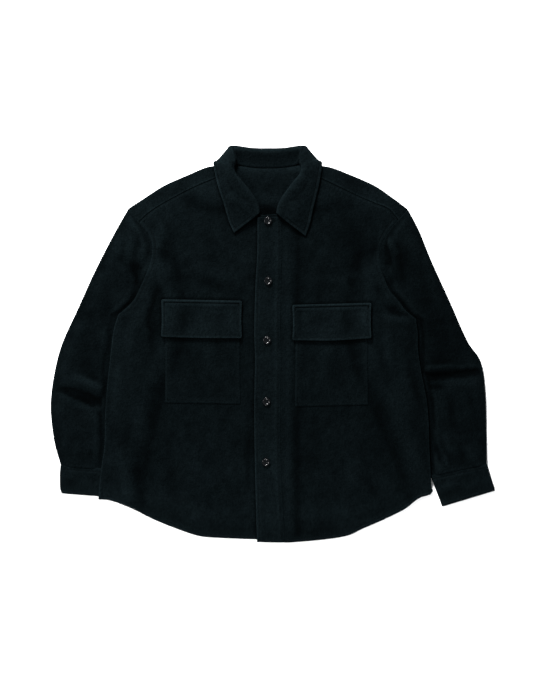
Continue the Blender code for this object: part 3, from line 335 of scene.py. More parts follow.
def painted_light_and_shade(verts, faces, under_name=""):
    """Painted light and shade at each point, which scales the wool's colour: painted highlight on ridges and turned
    edges, painted shade in grooves and troughs, painted patches of light and shade, and painted shadow where the edge
    of the piece above lies on it."""
    faces = np.asarray(faces, int)
    k = faces.shape[1]
    edges = np.vstack([faces[:, [i, (i + 1) % k]] for i in range(k)])
    edges = np.vstack([edges, edges[:, ::-1]])
    weight = np.bincount(edges[:, 0], minlength=len(verts)).astype(float)
    normal = np.zeros_like(verts)
    n = np.cross(verts[faces[:, 1]] - verts[faces[:, 0]], verts[faces[:, 2]] - verts[faces[:, 0]])
    for i in range(k):
        for c in range(3):
            normal[:, c] += np.bincount(faces[:, i], n[:, c], minlength=len(verts))
    normal /= np.maximum(np.linalg.norm(normal, axis=1), 1e-9)[:, None]
    soft, stages = verts.copy(), {}
    for turn in range(1, 41):
        mean = np.stack([np.bincount(edges[:, 0], soft[edges[:, 1], c], minlength=len(verts)) for c in range(3)], 1) / weight[:, None]
        soft = 0.35 * soft + 0.65 * mean
        if turn in (3, 40):
            stages[turn] = ((verts - soft) * normal).sum(1)
    # painted highlight where a point stands above its smoothed neighbours, painted shade where it lies below them
    tone = 1 + 0.44 * np.tanh(stages[3] / 0.22) + 0.30 * np.tanh(stages[40] / 0.9)
    # painted light and shade in soft patches
    painted_patch = np.zeros(len(verts))
    for x, y, wide, high, gain in zip(*(PAINTED_LIGHT_PATCHES[n] for n in ("x", "y", "wide", "high", "gain"))):
        painted_patch += 1.35 * gain * np.exp(-((verts[:, 0] - x) / wide) ** 2 - ((verts[:, 1] - y) / high) ** 2)
    # painted shadow along the edges of the pieces above, and painted shade along its deepest grooves
    painted_shadow = np.zeros(len(verts))
    for edge in PAINTED_SHADOW_EDGES.get(under_name, ()):
        painted_shadow = np.maximum(painted_shadow, np.exp(-(near(verts[:, 0], verts[:, 1], edge, closed=False) / 3.2) ** 2))
    for edge in PAINTED_GROOVE_SHADE.get(under_name, ()):
        painted_shadow = np.maximum(painted_shadow, 0.75 * np.exp(-(near(verts[:, 0], verts[:, 1], edge, closed=False) / 1.7) ** 2))
    painted_shadow *= smooth((normal[:, 2] + 0.1) / 0.4)      # only on the side that faces up
    return np.clip(tone, 0.45, 1.75) * PAINTED_EDGE_LIGHT.pop(under_name, 1.0) * (1 + painted_patch) * (1 - (0.25 if "sleeve" in under_name else 0.74) * painted_shadow)


def waves(x, y, length, seed, count=36):
    """Uneven smooth noise of about one unit, from plane waves about one wavelength long."""
    rng = np.random.default_rng(seed)
    turn, share, phase = rng.uniform(0, 2 * np.pi, count), rng.uniform(0.65, 1.6, count), rng.uniform(0, 2 * np.pi, count)
    z = np.zeros(np.shape(x))
    for a, s, p in zip(turn, share, phase):
        z = z + np.sin(2 * np.pi / (length * s) * (x * np.cos(a) + y * np.sin(a)) + p)
    return z * np.sqrt(2.0 / count)


def fine(x, y):
    """What the creases and the cloth's own unevenness add to the fronts."""
    left, right = edge_at(y, ARMHOLE_RIGHT, SIDE_RIGHT), edge_at(y, ARMHOLE_LEFT, SIDE_LEFT)
    d = np.maximum(np.minimum(x - left, right - x), 0)
    near = smooth(d / 16)
    z = creases(FRONT_CREASES, x, y) + 0.22 * waves(x, y, 75, 3) + 0.07 * waves(x, y, 28, 4)
    room = air(x, y) - 0.3
    z = np.where(z < -0.6 * room, -0.6 * room - 0.4 * room * np.tanh((-z - 0.6 * room) / (0.4 * room)), z)
    return z * (0.25 + 0.75 * near)


# ---------------------------------------------------------------- plan shapes
def armhole_points(side):
    tab, seam = (ARMHOLE_RIGHT, YOKE_SEAM_RIGHT) if side < 0 else (ARMHOLE_LEFT, YOKE_SEAM_LEFT)
    fine_line = line(tab, 240)
    cuts = [0] + [int(np.argmin(np.abs(fine_line[:, 1] - y))) for y in (seam["y"][0], BACK_YOKE_Y, CROSSING_Y)] + [len(fine_line) - 1]
    runs = [respace(fine_line[a:b + 1], n + 1)[:-1] for a, b, n in zip(cuts[:-1], cuts[1:], (2, 2, 4, 4))]
    points = np.vstack(runs + [fine_line[-1:]])
    points[1] = (points[0] + points[2]) / 2
    points[2, 1], points[4, 1] = seam["y"][0], BACK_YOKE_Y
    return points


PER = 8    # fine steps between two of the armhole's points


def armhole_fine(side, inward):
    """The armhole as a smooth line through its points, moved into the body."""
    return shift(spline(armhole_points(side), PER), -side * inward)


ROWS = len(COLLAR["neck_x"])
right_half = np.stack([np.stack([COLLAR[f"{part}_{axis}"] for axis in "xyz"], 1) for part in ("neck", "roll", "bend", "turn", "edge")], 1)
left_half = right_half[:-1][::-1].copy()
left_half[:, :, 0] = 2 * MID_X - left_half[:, :, 0]
on_top = left_half[:, :1, 2] > 5.5
lean = np.clip((345 - left_half[:, 4, 1]) / 127, 0, 1)[:, None] * np.array([0, 0.15, 0.3, 0.6, 1.0])[None] * on_top
left_half[:, :, 0] += LEFT_LEAF_LEAN_X * lean
left_half[:, :, 1] += LEFT_LEAF_LEAN_Y * lean
sections = np.concatenate([right_half, left_half])
over_fronts = sections[:, 0, 2] > 5.5
for row in sections:
    if row[0, 2] > 5.5 and abs(row[0, 2] - 8.0) > 0.01:
        row[:4, 2] += float(under_front_low(*row[0, :2])) + CLOTH / 2 - row[0, 2]
        if row[0, 0] > MID_X:
            row[:4, 2] += (CLOTH + LAP_REST) * float(lap(row[0, 0]))
NECK_FINE = 10
neck_curve = spline(sections[:, 0, :2], NECK_FINE)


def neck_edge(first, last):
    half = np.abs(np.arange(len(neck_curve)) / NECK_FINE - (ROWS - 1))
    gap = np.where(half < 3.2, -1.2, 1.2 + 1.5 * smooth((9.0 - half) / 1.2))
    return shift(neck_curve, gap)[int(round(first * NECK_FINE)):int(round(last * NECK_FINE)) + 1]


PLACKET_EDGE = table("x y", (-30.5, 249), (-31, 180), (-34.5, 118), (-37, 28), (-35.5, -32), (-37, -129), (-35.5, -250), (-31.5, -391))
PLACKET_TOP_Y, PLACKET_FOOT_X = 249.0, 20.0


def seam_line(side):
    """The front yoke seam, from the armhole to the neck."""
    tab = YOKE_SEAM_RIGHT if side < 0 else YOKE_SEAM_LEFT
    points = line(tab, 8)
    points[0] = shift(armhole_points(side), side * -0.2)[2]
    return spline(points, 8)


def pocket_outline(k, piece):
    row = {n: POCKETS[n][k] for n in POCKETS}
    mid = (row["bag_x0"] + row["bag_x1"]) / 2
    if piece == "bag":
        x0, x1, y0, y1, corner, dip = row["bag_x0"], row["bag_x1"], row["bag_bottom"], row["bag_top"], 2.5, 0.0
    else:
        x0, x1, y1, corner = row["flap_x0"], row["flap_x1"], row["flap_top"], 3.5
        y0, dip = y1 - row["flap_side_drop"], row["flap_mid_drop"] - row["flap_side_drop"]
    bow = 1.2                                                  # its sides draw in a little between the corners
    xs, ys = np.linspace(x0 + corner, x1 - corner, 40), np.linspace(y0 + corner, y1 - corner, 30)
    arc = np.radians(np.linspace(0, 90, 5))[1:-1]

    def turn(cx, cy, start):
        return [(cx + corner * np.cos(np.radians(start) + a), cy + corner * np.sin(np.radians(start) + a)) for a in arc]
    mid_y = (ys - ys[0]) / (ys[-1] - ys[0])
    draw = bow * np.sin(np.pi * mid_y)
    p = np.array([(x, y0 - dip * smooth(1 - abs(2 * (x - x0) / (x1 - x0) - 1))) for x in xs] + turn(x1 - corner, y0 + corner, -90)
                 + [(x1 - b, y) for y, b in zip(ys, draw)] + turn(x1 - corner, y1 - corner, 0)
                 + [(x, y1) for x in xs[::-1]] + turn(x0 + corner, y1 - corner, 90)
                 + [(x0 + b, y) for y, b in zip(ys[::-1], draw[::-1])] + turn(x0 + corner, y0 + corner, 180))
    p[:, 1] += (p[:, 0] - mid) * row["tilt"]
    return p


# ---------------------------------------------------------------- meshes
def evenly(loop, pitch):
    """A closed outline at even steps, keeping its corners."""
    p = np.asarray(loop, float)
    keep = np.linalg.norm(p - np.roll(p, 1, axis=0), axis=1) > 0.05
    p = p[keep]
    a, b = p - np.roll(p, 1, axis=0), np.roll(p, -1, axis=0) - p
    bend = np.abs(np.arctan2(a[:, 0] * b[:, 1] - a[:, 1] * b[:, 0], (a * b).sum(1)))
    corners = [i for i in range(len(p)) if bend[i] > 0.35] or [0]
    out = []
    for i, j in zip(corners, corners[1:] + [corners[0] + len(p)]):
        run = p[np.arange(i, j + 1) % len(p)]
        length = np.linalg.norm(np.diff(run, axis=0), axis=1).sum()
        out.append(respace(run, max(2, int(round(length / pitch)) + 1))[:-1])
    return np.vstack(out)


def near(px, py, loop, closed=True, block=3000):
    """distance(), a block of points at a time."""
    px, py = np.ravel(px), np.ravel(py)
    return np.concatenate([distance(px[i:i + block], py[i:i + block], loop, closed) for i in range(0, len(px), block)]) if len(px) else np.zeros(0)


def area_of(loop):
    return 0.5 * (loop[:, 0] * np.roll(loop[:, 1], -1) - loop[:, 1] * np.roll(loop[:, 0], -1)).sum()


def inset(loop, d):
    """A closed outline moved inwards, without the points that its corners swallow."""
    a, b = loop - np.roll(loop, 1, axis=0), np.roll(loop, -1, axis=0) - loop
    a, b = a / np.linalg.norm(a, axis=1)[:, None], b / np.linalg.norm(b, axis=1)[:, None]
    n = np.stack([-(a + b)[:, 1], (a + b)[:, 0]], 1)
    n /= np.linalg.norm(n, axis=1)[:, None]
    cos = np.clip((n * np.stack([-a[:, 1], a[:, 0]], 1)).sum(1), 0.4, 1)
    p = loop + n * (d / cos)[:, None]
    return p[near(p[:, 0], p[:, 1], loop) > 0.97 * d]


def triangulate(loop, rings, pitch, clear):
    """Triangles over an outline, with inner rings as edges and a field of points. The outline's points keep their numbers."""
    pts, edges = [tuple(p) for p in loop], []
    for r in rings:
        base = len(pts)
        pts += [tuple(p) for p in r]
        edges += [(base + i, base + (i + 1) % len(r)) for i in range(len(r))
                  if np.linalg.norm(r[i] - r[(i + 1) % len(r)]) < 14]
    lo, hi = loop.min(0), loop.max(0)
    gx, gy = np.meshgrid(np.arange(lo[0] + pitch / 2, hi[0], pitch), np.arange(lo[1] + pitch / 2, hi[1], pitch * 0.87))
    gx = (gx + (np.arange(gx.shape[0]) % 2)[:, None] * pitch / 2).ravel()
    gy = gy.ravel()
    keep = inside_blocks(gx, gy, loop)
    gx, gy = gx[keep], gy[keep]
    keep = near(gx, gy, loop) > clear
    pts += list(zip(gx[keep], gy[keep]))
    verts, _, tris, origin, _, _ = delaunay_2d_cdt([Vector(p) for p in pts], edges, [list(range(len(loop)))], 1, 1e-4)
    v = np.array([tuple(p) for p in verts])
    place = {i: k for k, found in enumerate(origin) for i in found if i < len(loop)}
    return v, np.array(tris), np.array([place[i] for i in range(len(loop))])


def inside_blocks(px, py, loop, block=4000):
    return np.concatenate([inside(px[i:i + block], py[i:i + block], loop) for i in range(0, len(px), block)])


def make(name, verts, tris, material):
    """A smooth mesh from millimetres, which rides on the garment."""
    mesh = bpy.data.meshes.new(name)
    verts = np.asarray(verts, float)
    tris = np.asarray(tris, int)
    k = tris.shape[1]
    mesh.vertices.add(len(verts))
    mesh.vertices.foreach_set("co", ((verts + OFFSET) * MM).astype(np.float32).ravel())
    mesh.loops.add(tris.size)
    mesh.loops.foreach_set("vertex_index", tris.astype(np.int32).ravel())
    mesh.polygons.add(len(tris))
    mesh.polygons.foreach_set("loop_start", np.arange(0, tris.size, k, dtype=np.int32))
    mesh.polygons.foreach_set("loop_total", np.full(len(tris), k, np.int32))
    mesh.polygons.foreach_set("use_smooth", np.ones(len(tris), bool))
    mesh.update(calc_edges=True)
    mesh.validate()
    if material.name.startswith("brushed_wool"):
        # painted light and shade, point by point, which scales the wool's colour
        mesh.attributes.new("nap_and_painted_light", "FLOAT", "POINT").data.foreach_set("value", painted_light_and_shade(verts, tris, name).astype(np.float32))
    mesh.materials.append(material)
    obj = bpy.data.objects.new(name, mesh)
    bpy.context.scene.collection.objects.link(obj)
    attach(obj, "root")
    return obj


def outward(verts, tris):
    v, t = np.asarray(verts), np.asarray(tris)
    volume = (np.cross(v[t[:, 0]], v[t[:, 1]]) * v[t[:, 2]]).sum()
    return t if volume > 0 else t[:, ::-1]


PAINTED_SHADOW_EDGES = {}         # for each piece, the edges of the pieces that lie on it, where painted shadow darkens it
PAINTED_GROOVE_SHADE = {}       # and its own deepest stitched grooves, darkened with painted shade
PAINTED_EDGE_LIGHT = {}          # and the painted highlight on its turned edge, point by point
ROUND = 1.15       # radius of a rounded cloth edge
THREAD = []        # stitch rows: points of each row, in order


def lying(name, outline, low, thick, groove=None, depth=0.55, edge_lift=0.0, pitch=4.6, low_pitch=11.0, step=3.2, shape=None,
          sink=None, stitch=(), material=None, painted_edge_light=0.3):
    """A closed shell over a plan outline: its underside at low(x, y), its rounded edge, and a stitched groove round it.

    shape(x, y, d) is what else the upper side adds, and sink(x, y, d) how far it is pressed down, its edge too. stitch names
    the runs of the groove that carry thread, as tests on x and y.
    """
    loop = evenly(outline, step)
    if area_of(loop) < 0:
        loop = loop[::-1]
    at = [0.3, 0.75, ROUND, 3.0]
    if groove:
        at += [groove - 1.3, groove - 0.65, groove, groove + 0.65, groove + 1.5, groove + 4.0]
    rings = [inset(loop, d) for d in at]
    v, tris, rim = triangulate(loop, rings, pitch, at[-1] + pitch * 0.7)
    d = near(v[:, 0], v[:, 1], loop)
    d[rim] = 0

    def top(x, y, d):
        half = thick / 2
        full = np.sqrt(np.clip(1 - (1 - np.minimum(d / ROUND, 1)) ** 2, 0, 1))
        z = low(x, y) + half + half * full
        if groove:
            z = z + edge_lift * np.exp(-((d - 0.45 * groove) / (0.42 * groove)) ** 2) * full
            deep = depth(x, y) if callable(depth) else depth
            z = z - deep * np.exp(-((d - groove) / 1.0) ** 2) + 0.3 * deep * np.exp(-((d - groove - 3) / 2.0) ** 2)
        if shape is not None:
            z = z + shape(x, y, d) * smooth(d / 3.0)
        if sink is not None:
            z = np.maximum(z + sink(x, y, d), low(x, y) + 0.2)
        return z

    zt = top(v[:, 0], v[:, 1], d)
    zt[rim] = np.minimum(zt[rim], low(v[rim, 0], v[rim, 1]) + thick / 2)
    rings_low = [inset(loop, a) for a in (0.4, ROUND, 5.0)]
    w, tris_low, rim_low = triangulate(loop, rings_low, low_pitch, 5.0 + low_pitch * 0.6)
    e = near(w[:, 0], w[:, 1], loop)
    full = np.sqrt(np.clip(1 - (1 - np.minimum(e / ROUND, 1)) ** 2, 0, 1))
    zl = low(w[:, 0], w[:, 1]) + thick / 2 * (1 - full)
    if sink is not None:
        zl = np.minimum(zl, low(w[:, 0], w[:, 1]) + 0.1)
    # the two sheets share the outline's points
    index = np.full(len(w), -1)
    index[rim_low] = rim
    rest = np.flatnonzero(index < 0)
    index[rest] = len(v) + np.arange(len(rest))
    verts = np.vstack([np.column_stack([v, zt]), np.column_stack([w[rest], zl[rest]])])
    faces = np.vstack([tris, index[tris_low][:, ::-1]])
    # painted highlight along the rounded edge, painted shade where the amount is below zero
    PAINTED_EDGE_LIGHT[name] = np.concatenate([1 + painted_edge_light * np.exp(-((d - 1.2) / 1.3) ** 2), np.ones(len(rest))])
    if stitch is not None and groove:
        row = inset(loop, groove)
        z = top(row[:, 0], row[:, 1], np.full(len(row), groove))
        row = np.column_stack([row, z])
        tests = stitch or [lambda x, y: np.ones(np.shape(x), bool)]
        for test in tests:
            ok = test(row[:, 0], row[:, 1])
            if ok.all():
                THREAD.append(np.vstack([row, row[:1]]))
                continue
            start = int(np.flatnonzero(~ok)[0])
            order = np.roll(np.arange(len(row)), -start)
            run = []
            for i in order:
                if ok[i] and (not run or np.linalg.norm(row[i] - row[run[-1]]) < 16):
                    run.append(i)
                else:
                    if len(run) > 3:
                        THREAD.append(row[run])
                    run = [i] if ok[i] else []
            if len(run) > 3:
                THREAD.append(row[run])
    return make(name, verts, outward(verts, faces), material or WOOL), top, loop


def spline_at(points, t):
    """The curve of spline() at any places t, counted in spans; points is (rows, ...)."""
    p = np.asarray(points, float)
    ends = np.concatenate([[2 * p[0] - p[1]], p, [2 * p[-1] - p[-2]]])
    i = np.clip(np.floor(t).astype(int), 0, len(p) - 2)
    u = (t - i).reshape((-1,) + (1,) * (p.ndim - 1))
    a, b, c, d = ends[i], ends[i + 1], ends[i + 2], ends[i + 3]
    return 0.5 * (2 * b + (c - a) * u + (2 * a - 5 * b + 4 * c - d) * u ** 2 + (3 * b - a - 3 * c + d) * u ** 3)


def quad_shell(name, pts, quads, out, into, groove_of=None, material=None):
    """A closed shell about a mesh of centre points; out and into are its thickness to each side at each point."""
    pts, quads = np.asarray(pts, float), np.asarray(quads, int)
    normal = np.zeros_like(pts)
    a, b, c, d = (pts[quads[:, k]] for k in range(4))
    n = np.cross(c - a, d - b)
    for k in range(4):
        np.add.at(normal, quads[:, k], n)
    normal /= np.maximum(np.linalg.norm(normal, axis=1), 1e-9)[:, None]
    upper, lower = pts + normal * out[:, None], pts - normal * into[:, None]
    count = len(pts)
    edges = np.vstack([quads[:, [k, (k + 1) % 4]] for k in range(4)])
    key = {(int(i), int(j)) for i, j in edges}
    rim = np.array([(i, j) for i, j in key if (j, i) not in key])
    q = np.vstack([quads, quads[:, ::-1] + count, np.column_stack([rim[:, 1], rim[:, 0], rim[:, 0] + count, rim[:, 1] + count])])
    verts = np.vstack([upper, lower])
    t = np.vstack([q[:, [0, 1, 2]], q[:, [0, 2, 3]]])
    if (np.cross(verts[t[:, 0]], verts[t[:, 1]]) * verts[t[:, 2]]).sum() < 0:
        q = q[:, ::-1]
    return make(name, verts, q, material or WOOL), upper, lower, rim


def rim_distance(pts, quads, block=1500):
    """How far each point of a mesh is from the mesh's own edge, in space."""
    edges = np.vstack([quads[:, [k, (k + 1) % 4]] for k in range(4)])
    key = {(int(i), int(j)) for i, j in edges}
    rim = np.array([(i, j) for i, j in key if (j, i) not in key])
    a, b = pts[rim[:, 0]], pts[rim[:, 1]]
    ab = b - a
    out = []
    for s in range(0, len(pts), block):
        q = pts[s:s + block, None, :]
        t = np.clip(((q - a) * ab).sum(-1) / np.maximum((ab ** 2).sum(-1), 1e-12), 0, 1)
        out.append(np.linalg.norm(q - a - t[..., None] * ab, axis=-1).min(1))
    return np.concatenate(out)


def rounded(d, radius=ROUND):
    return np.maximum(np.sqrt(np.clip(1 - (1 - np.minimum(d / radius, 1)) ** 2, 0, 1)), 0.06)


EDGE_STEPS = np.array([0, 0.3, 0.75, 1.15, 2.4, 3.8, 5.0, 5.6, 6.2, 6.8, 7.6, 9.4])


def steps_to(length, pitch):
    """Places along a length: close together at its start, for the rounded edge and the groove, then even."""
    if length < 14:
        return EDGE_STEPS[EDGE_STEPS < length - 1.0].tolist() + [length]
    rest = np.linspace(9.4, length, max(2, int(round((length - 9.4) / pitch)) + 1))[1:]
    return np.concatenate([EDGE_STEPS, rest]).tolist()


# ---------------------------------------------------------------- finishes
def nodes_of(name, colour, rough):
    mat = bpy.data.materials.new(name)
    mat.use_nodes = True
    tree = mat.node_tree
    shader = tree.nodes["Principled BSDF"]
    shader.inputs["Base Color"].default_value = (*colour, 1)
    shader.inputs["Roughness"].default_value = rough
    return mat, tree, shader


def noise(tree, scale, detail, rough, stretch=None, distortion=0.0):
    coord = tree.nodes.new("ShaderNodeTexCoord")
    mapping = tree.nodes.new("ShaderNodeMapping")
    mapping.inputs["Scale"].default_value = stretch or (1, 1, 1)
    tex = tree.nodes.new("ShaderNodeTexNoise")
    tex.inputs["Scale"].default_value = scale
    tex.inputs["Detail"].default_value = detail
    tex.inputs["Roughness"].default_value = rough
    tex.inputs["Distortion"].default_value = distortion
    tree.links.new(coord.outputs["Object"], mapping.inputs["Vector"])
    tree.links.new(mapping.outputs["Vector"], tex.inputs["Vector"])
    return tex


def mix_colours(tree, factor, a, b):
    mix = tree.nodes.new("ShaderNodeMix")
    mix.data_type = "RGBA"
    mix.inputs["A"].default_value = (*a, 1)
    mix.inputs["B"].default_value = (*b, 1)
    tree.links.new(factor, mix.inputs["Factor"])
    return mix


def ramp(tree, value, low, high):
    node_ = tree.nodes.new("ShaderNodeMapRange")
    node_.inputs["From Min"].default_value = low
    node_.inputs["From Max"].default_value = high
    tree.links.new(value, node_.inputs["Value"])
    return node_.outputs["Result"]


def bump(tree, height, distance_, strength, previous=None):
    node_ = tree.nodes.new("ShaderNodeBump")
    node_.inputs["Strength"].default_value = strength
    node_.inputs["Distance"].default_value = distance_
    tree.links.new(height, node_.inputs["Height"])
    if previous is not None:
        tree.links.new(previous, node_.inputs["Normal"])
    return node_.outputs["Normal"]


WOOL_DARK, WOOL_LIGHT, WOOL_FIBRE = (0.0009, 0.0017, 0.0020), (0.0021, 0.0037, 0.0043), (0.0042, 0.0068, 0.0078)


def wool(name, gain=1.0):
    """Brushed wool: a matted pile of short fibres that lies mostly one way, with paler fibre ends and soft clumps; its
    colour is scaled by the painted light and shade held in the mesh attribute.
    """
    mat, tree, shader = nodes_of(name, WOOL_DARK, 0.92)
    clumps = noise(tree, 210, 3, 0.62, (1.0, 0.8, 1.0), 0.6)
    fibres = noise(tree, 1250, 3, 0.7, (1.0, 0.42, 1.0), 1.1)
    cloudy = noise(tree, 16, 2, 0.5)
    first = mix_colours(tree, ramp(tree, clumps.outputs["Fac"], 0.30, 0.72), tuple(gain * c for c in WOOL_DARK), tuple(gain * c for c in WOOL_LIGHT))
    tips = tree.nodes.new("ShaderNodeMix")
    tips.data_type = "RGBA"
    tips.inputs["B"].default_value = (*(gain * c for c in WOOL_FIBRE), 1)
    tree.links.new(first.outputs["Result"], tips.inputs["A"])
    tree.links.new(ramp(tree, fibres.outputs["Fac"], 0.52, 0.80), tips.inputs["Factor"])
    shade = tree.nodes.new("ShaderNodeMix")
    shade.data_type = "RGBA"
    shade.blend_type = "MULTIPLY"
    shade.inputs["Factor"].default_value = 1.0
    grey = mix_colours(tree, ramp(tree, cloudy.outputs["Fac"], 0.3, 0.7), (0.86, 0.86, 0.86), (1.12, 1.12, 1.12))
    tree.links.new(tips.outputs["Result"], shade.inputs["A"])
    tree.links.new(grey.outputs["Result"], shade.inputs["B"])
    # painted light and shade from the mesh attribute scales the colour
    painted_light_attribute = tree.nodes.new("ShaderNodeAttribute")
    painted_light_attribute.attribute_name = "nap_and_painted_light"
    painted_light_scaled = tree.nodes.new("ShaderNodeVectorMath")
    painted_light_scaled.operation = "SCALE"
    tree.links.new(shade.outputs["Result"], painted_light_scaled.inputs[0])
    tree.links.new(painted_light_attribute.outputs["Fac"], painted_light_scaled.inputs["Scale"])
    tree.links.new(painted_light_scaled.outputs["Vector"], shader.inputs["Base Color"])
    shader.inputs["Specular IOR Level"].default_value = 0.002
    shader.inputs["Sheen Weight"].default_value = 0.006
    shader.inputs["Sheen Roughness"].default_value = 0.5
    shader.inputs["Sheen Tint"].default_value = (0.55, 0.86, 1.0, 1)
    pill = bump(tree, clumps.outputs["Fac"], 0.0024, 1.0)
    nap_and_painted_light = bump(tree, fibres.outputs["Fac"], 0.0008, 0.9, pill)
    tree.links.new(nap_and_painted_light, shader.inputs["Normal"])
    return mat


WOOL = wool("brushed_wool", 0.56)
# a paler copy of the same wool, painted light for the raised top pieces: placket, flaps, collar and cuffs
WOOL_PAINTED_LIT = wool("brushed_wool_painted_lit", 0.66)


def thread_finish():
    mat, tree, shader = nodes_of("sewing_thread", (0.002, 0.003, 0.004), 0.7)
    twist = noise(tree, 2600, 2, 0.6, (1, 1, 1))
    colour = mix_colours(tree, ramp(tree, twist.outputs["Fac"], 0.35, 0.65), (0.0008, 0.0014, 0.0018), (0.0030, 0.0046, 0.0054))
    tree.links.new(colour.outputs["Result"], shader.inputs["Base Color"])
    tree.links.new(bump(tree, twist.outputs["Fac"], 0.0002, 0.6), shader.inputs["Normal"])
    shader.inputs["Specular IOR Level"].default_value = 0.02
    return mat


def button_finish():
    mat, tree, shader = nodes_of("polished_button", (0.0012, 0.0013, 0.0016), 0.10)
    cloud = noise(tree, 180, 3, 0.6, (1, 1, 1), 1.5)
    colour = mix_colours(tree, ramp(tree, cloud.outputs["Fac"], 0.35, 0.7), (0.0006, 0.0008, 0.0011), (0.0026, 0.0030, 0.0036))
    tree.links.new(colour.outputs["Result"], shader.inputs["Base Color"])
    scuffs = noise(tree, 900, 3, 0.7)
    tree.links.new(ramp(tree, scuffs.outputs["Fac"], -0.9, 6.5), shader.inputs["Roughness"])
    tree.links.new(bump(tree, cloud.outputs["Fac"], 0.00025, 0.25), shader.inputs["Normal"])
    shader.inputs["Specular IOR Level"].default_value = 0.15
    shader.inputs["Coat Weight"].default_value = 0.04
    shader.inputs["Coat Roughness"].default_value = 0.06
    return mat


THREAD_FINISH, GLOSS = thread_finish(), button_finish()

# the solids' middle: where the tables' origin is in the frame
box_low, box_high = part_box("button_1")
OFFSET = np.array([(box_low.x + box_high.x) / 2 / MM - BUTTONS["x"][0], (box_low.y + box_high.y) / 2 / MM - BUTTONS["y"][0], 0.0])


# ---------------------------------------------------------------- back, fronts, and what lies on them
def back_lift(x, y):
    """How far creases hold the back off what it lies on."""
    left, right = edge_at(y, ARMHOLE_RIGHT, SIDE_RIGHT), edge_at(y, ARMHOLE_LEFT, SIDE_LEFT)
    d = np.maximum(np.minimum(x - left, right - x), 0)
    return np.clip(folds(BACK_CREASES, x, y) + 0.12 * waves(x, y, 60, 9), 0, 0.55 * (air(x, y) - 0.3)) * smooth((d - 6) / 30) * smooth((202 - y) / 20)


def back_low(x, y):
    return bed(x, y) + back_lift(x, y)


def front_low(x, y):
    return np.maximum(under_front_low(x, y) + fine(x, y), back_low(x, y) + CLOTH + 0.25)


def left_front_low(x, y):
    return np.maximum(over_front_low(x, y) + fine(x, y), back_low(x, y) + CLOTH + 0.25 + (CLOTH + 0.5) * lap(x))


top_y = BACK_YOKE_Y - SEAM
hole_right, hole_left = (spline(shift(armhole_points(s), -s * 0.2)[4:], PER) for s in (-1, 1))
hole_right[0, 1] = hole_left[0, 1] = top_y
hem_right, hem_left = line(HEM_RIGHT, pitch=8.0), line(HEM_LEFT, pitch=8.0)
hem = np.vstack([hem_right[hem_right[:, 0] < -45], hem_left[hem_left[:, 0] > -20]])
hem[1:-1, 1] += 1.5
across_top = np.array([(x, top_y) for x in np.linspace(hole_left[0, 0], hole_right[0, 0], 60)])
back_outline = np.vstack([across_top[:-1], hole_right[:-1], line(SIDE_RIGHT, pitch=8.0)[:-1], hem,
                          line(SIDE_LEFT, pitch=8.0)[::-1][1:-1], hole_left[::-1][:-1]])
placket_edge = line(PLACKET_EDGE, pitch=5)
leaf_right, leaf_left = (np.vstack([sections[i, 1:5, :2], spline(sections[rows_, 4, :2], 6)])
                         for i, rows_ in ((0, slice(0, 6)), (-1, slice(-1, -7, -1))))
flap_edge = [pocket_outline(k, "flap") for k in (0, 1)]
side_edge = {s: np.vstack([spline(armhole_points(s)[8:], 8)[:-1], line(tab_, pitch=8.0)]) for s, tab_ in ((-1, SIDE_RIGHT), (1, SIDE_LEFT))}
# painted shadow on each piece along the edges of the pieces that lie on it
PAINTED_SHADOW_EDGES.update({
    "front_right_panel": (flap_edge[0], leaf_right, placket_edge, seam_line(-1)),
    "front_left_panel": (flap_edge[1], leaf_left, seam_line(1)),
    "pocket_right_bag": (flap_edge[0],), "pocket_left_bag": (flap_edge[1],), "yoke_shell": (leaf_right, leaf_left),
    "sleeve_right_shell": (side_edge[-1],), "sleeve_left_shell": (side_edge[1],), "placket_band": (leaf_right, leaf_left)})

# painted shade along each flap's stitched groove at its top
for k_, flap_name in enumerate(("flap_right_cover", "flap_left_cover")):
    top_edge = inset(flap_edge[k_] if area_of(flap_edge[k_]) > 0 else flap_edge[k_][::-1], 6.0)
    PAINTED_GROOVE_SHADE[flap_name] = (top_edge[top_edge[:, 1] > POCKETS["flap_top"][k_] - 12],)

# the back is seen from below, so its finer sheet is the lower one
back_piece, _, _ = lying("back_panel", back_outline, back_low, CLOTH, pitch=9.0, low_pitch=6.5, step=4.0)
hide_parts("back")


def seam_sink(side):
    """The front goes under the yoke at its seam, so it dips there."""
    seam = seam_line(side)

    def sink(x, y, d):
        return -1.15 * (1 - smooth(near(x, y, seam, closed=False) / 4.2))
    return sink


def front_depth(side):
    armhole, seam, hem_ = (ARMHOLE_RIGHT, SIDE_RIGHT, HEM_RIGHT) if side < 0 else (ARMHOLE_LEFT, SIDE_LEFT, HEM_LEFT)
    hole_, edge_ = np.stack([armhole["x"], armhole["y"]], 1), np.stack([hem_["x"], hem_["y"]], 1)
    edge_ = edge_[np.argsort(edge_[:, 0])]

    def depth(x, y):
        at_hole = smooth((16 - near(x, y, hole_, closed=False)) / 6) * (np.asarray(y) > 62)
        at_hem = smooth((18 - (y - np.interp(x, edge_[:, 0], edge_[:, 1]))) / 6)
        return np.maximum((0.28 if side < 0 else 0.42) * at_hole, 0.42 * at_hem)
    return depth


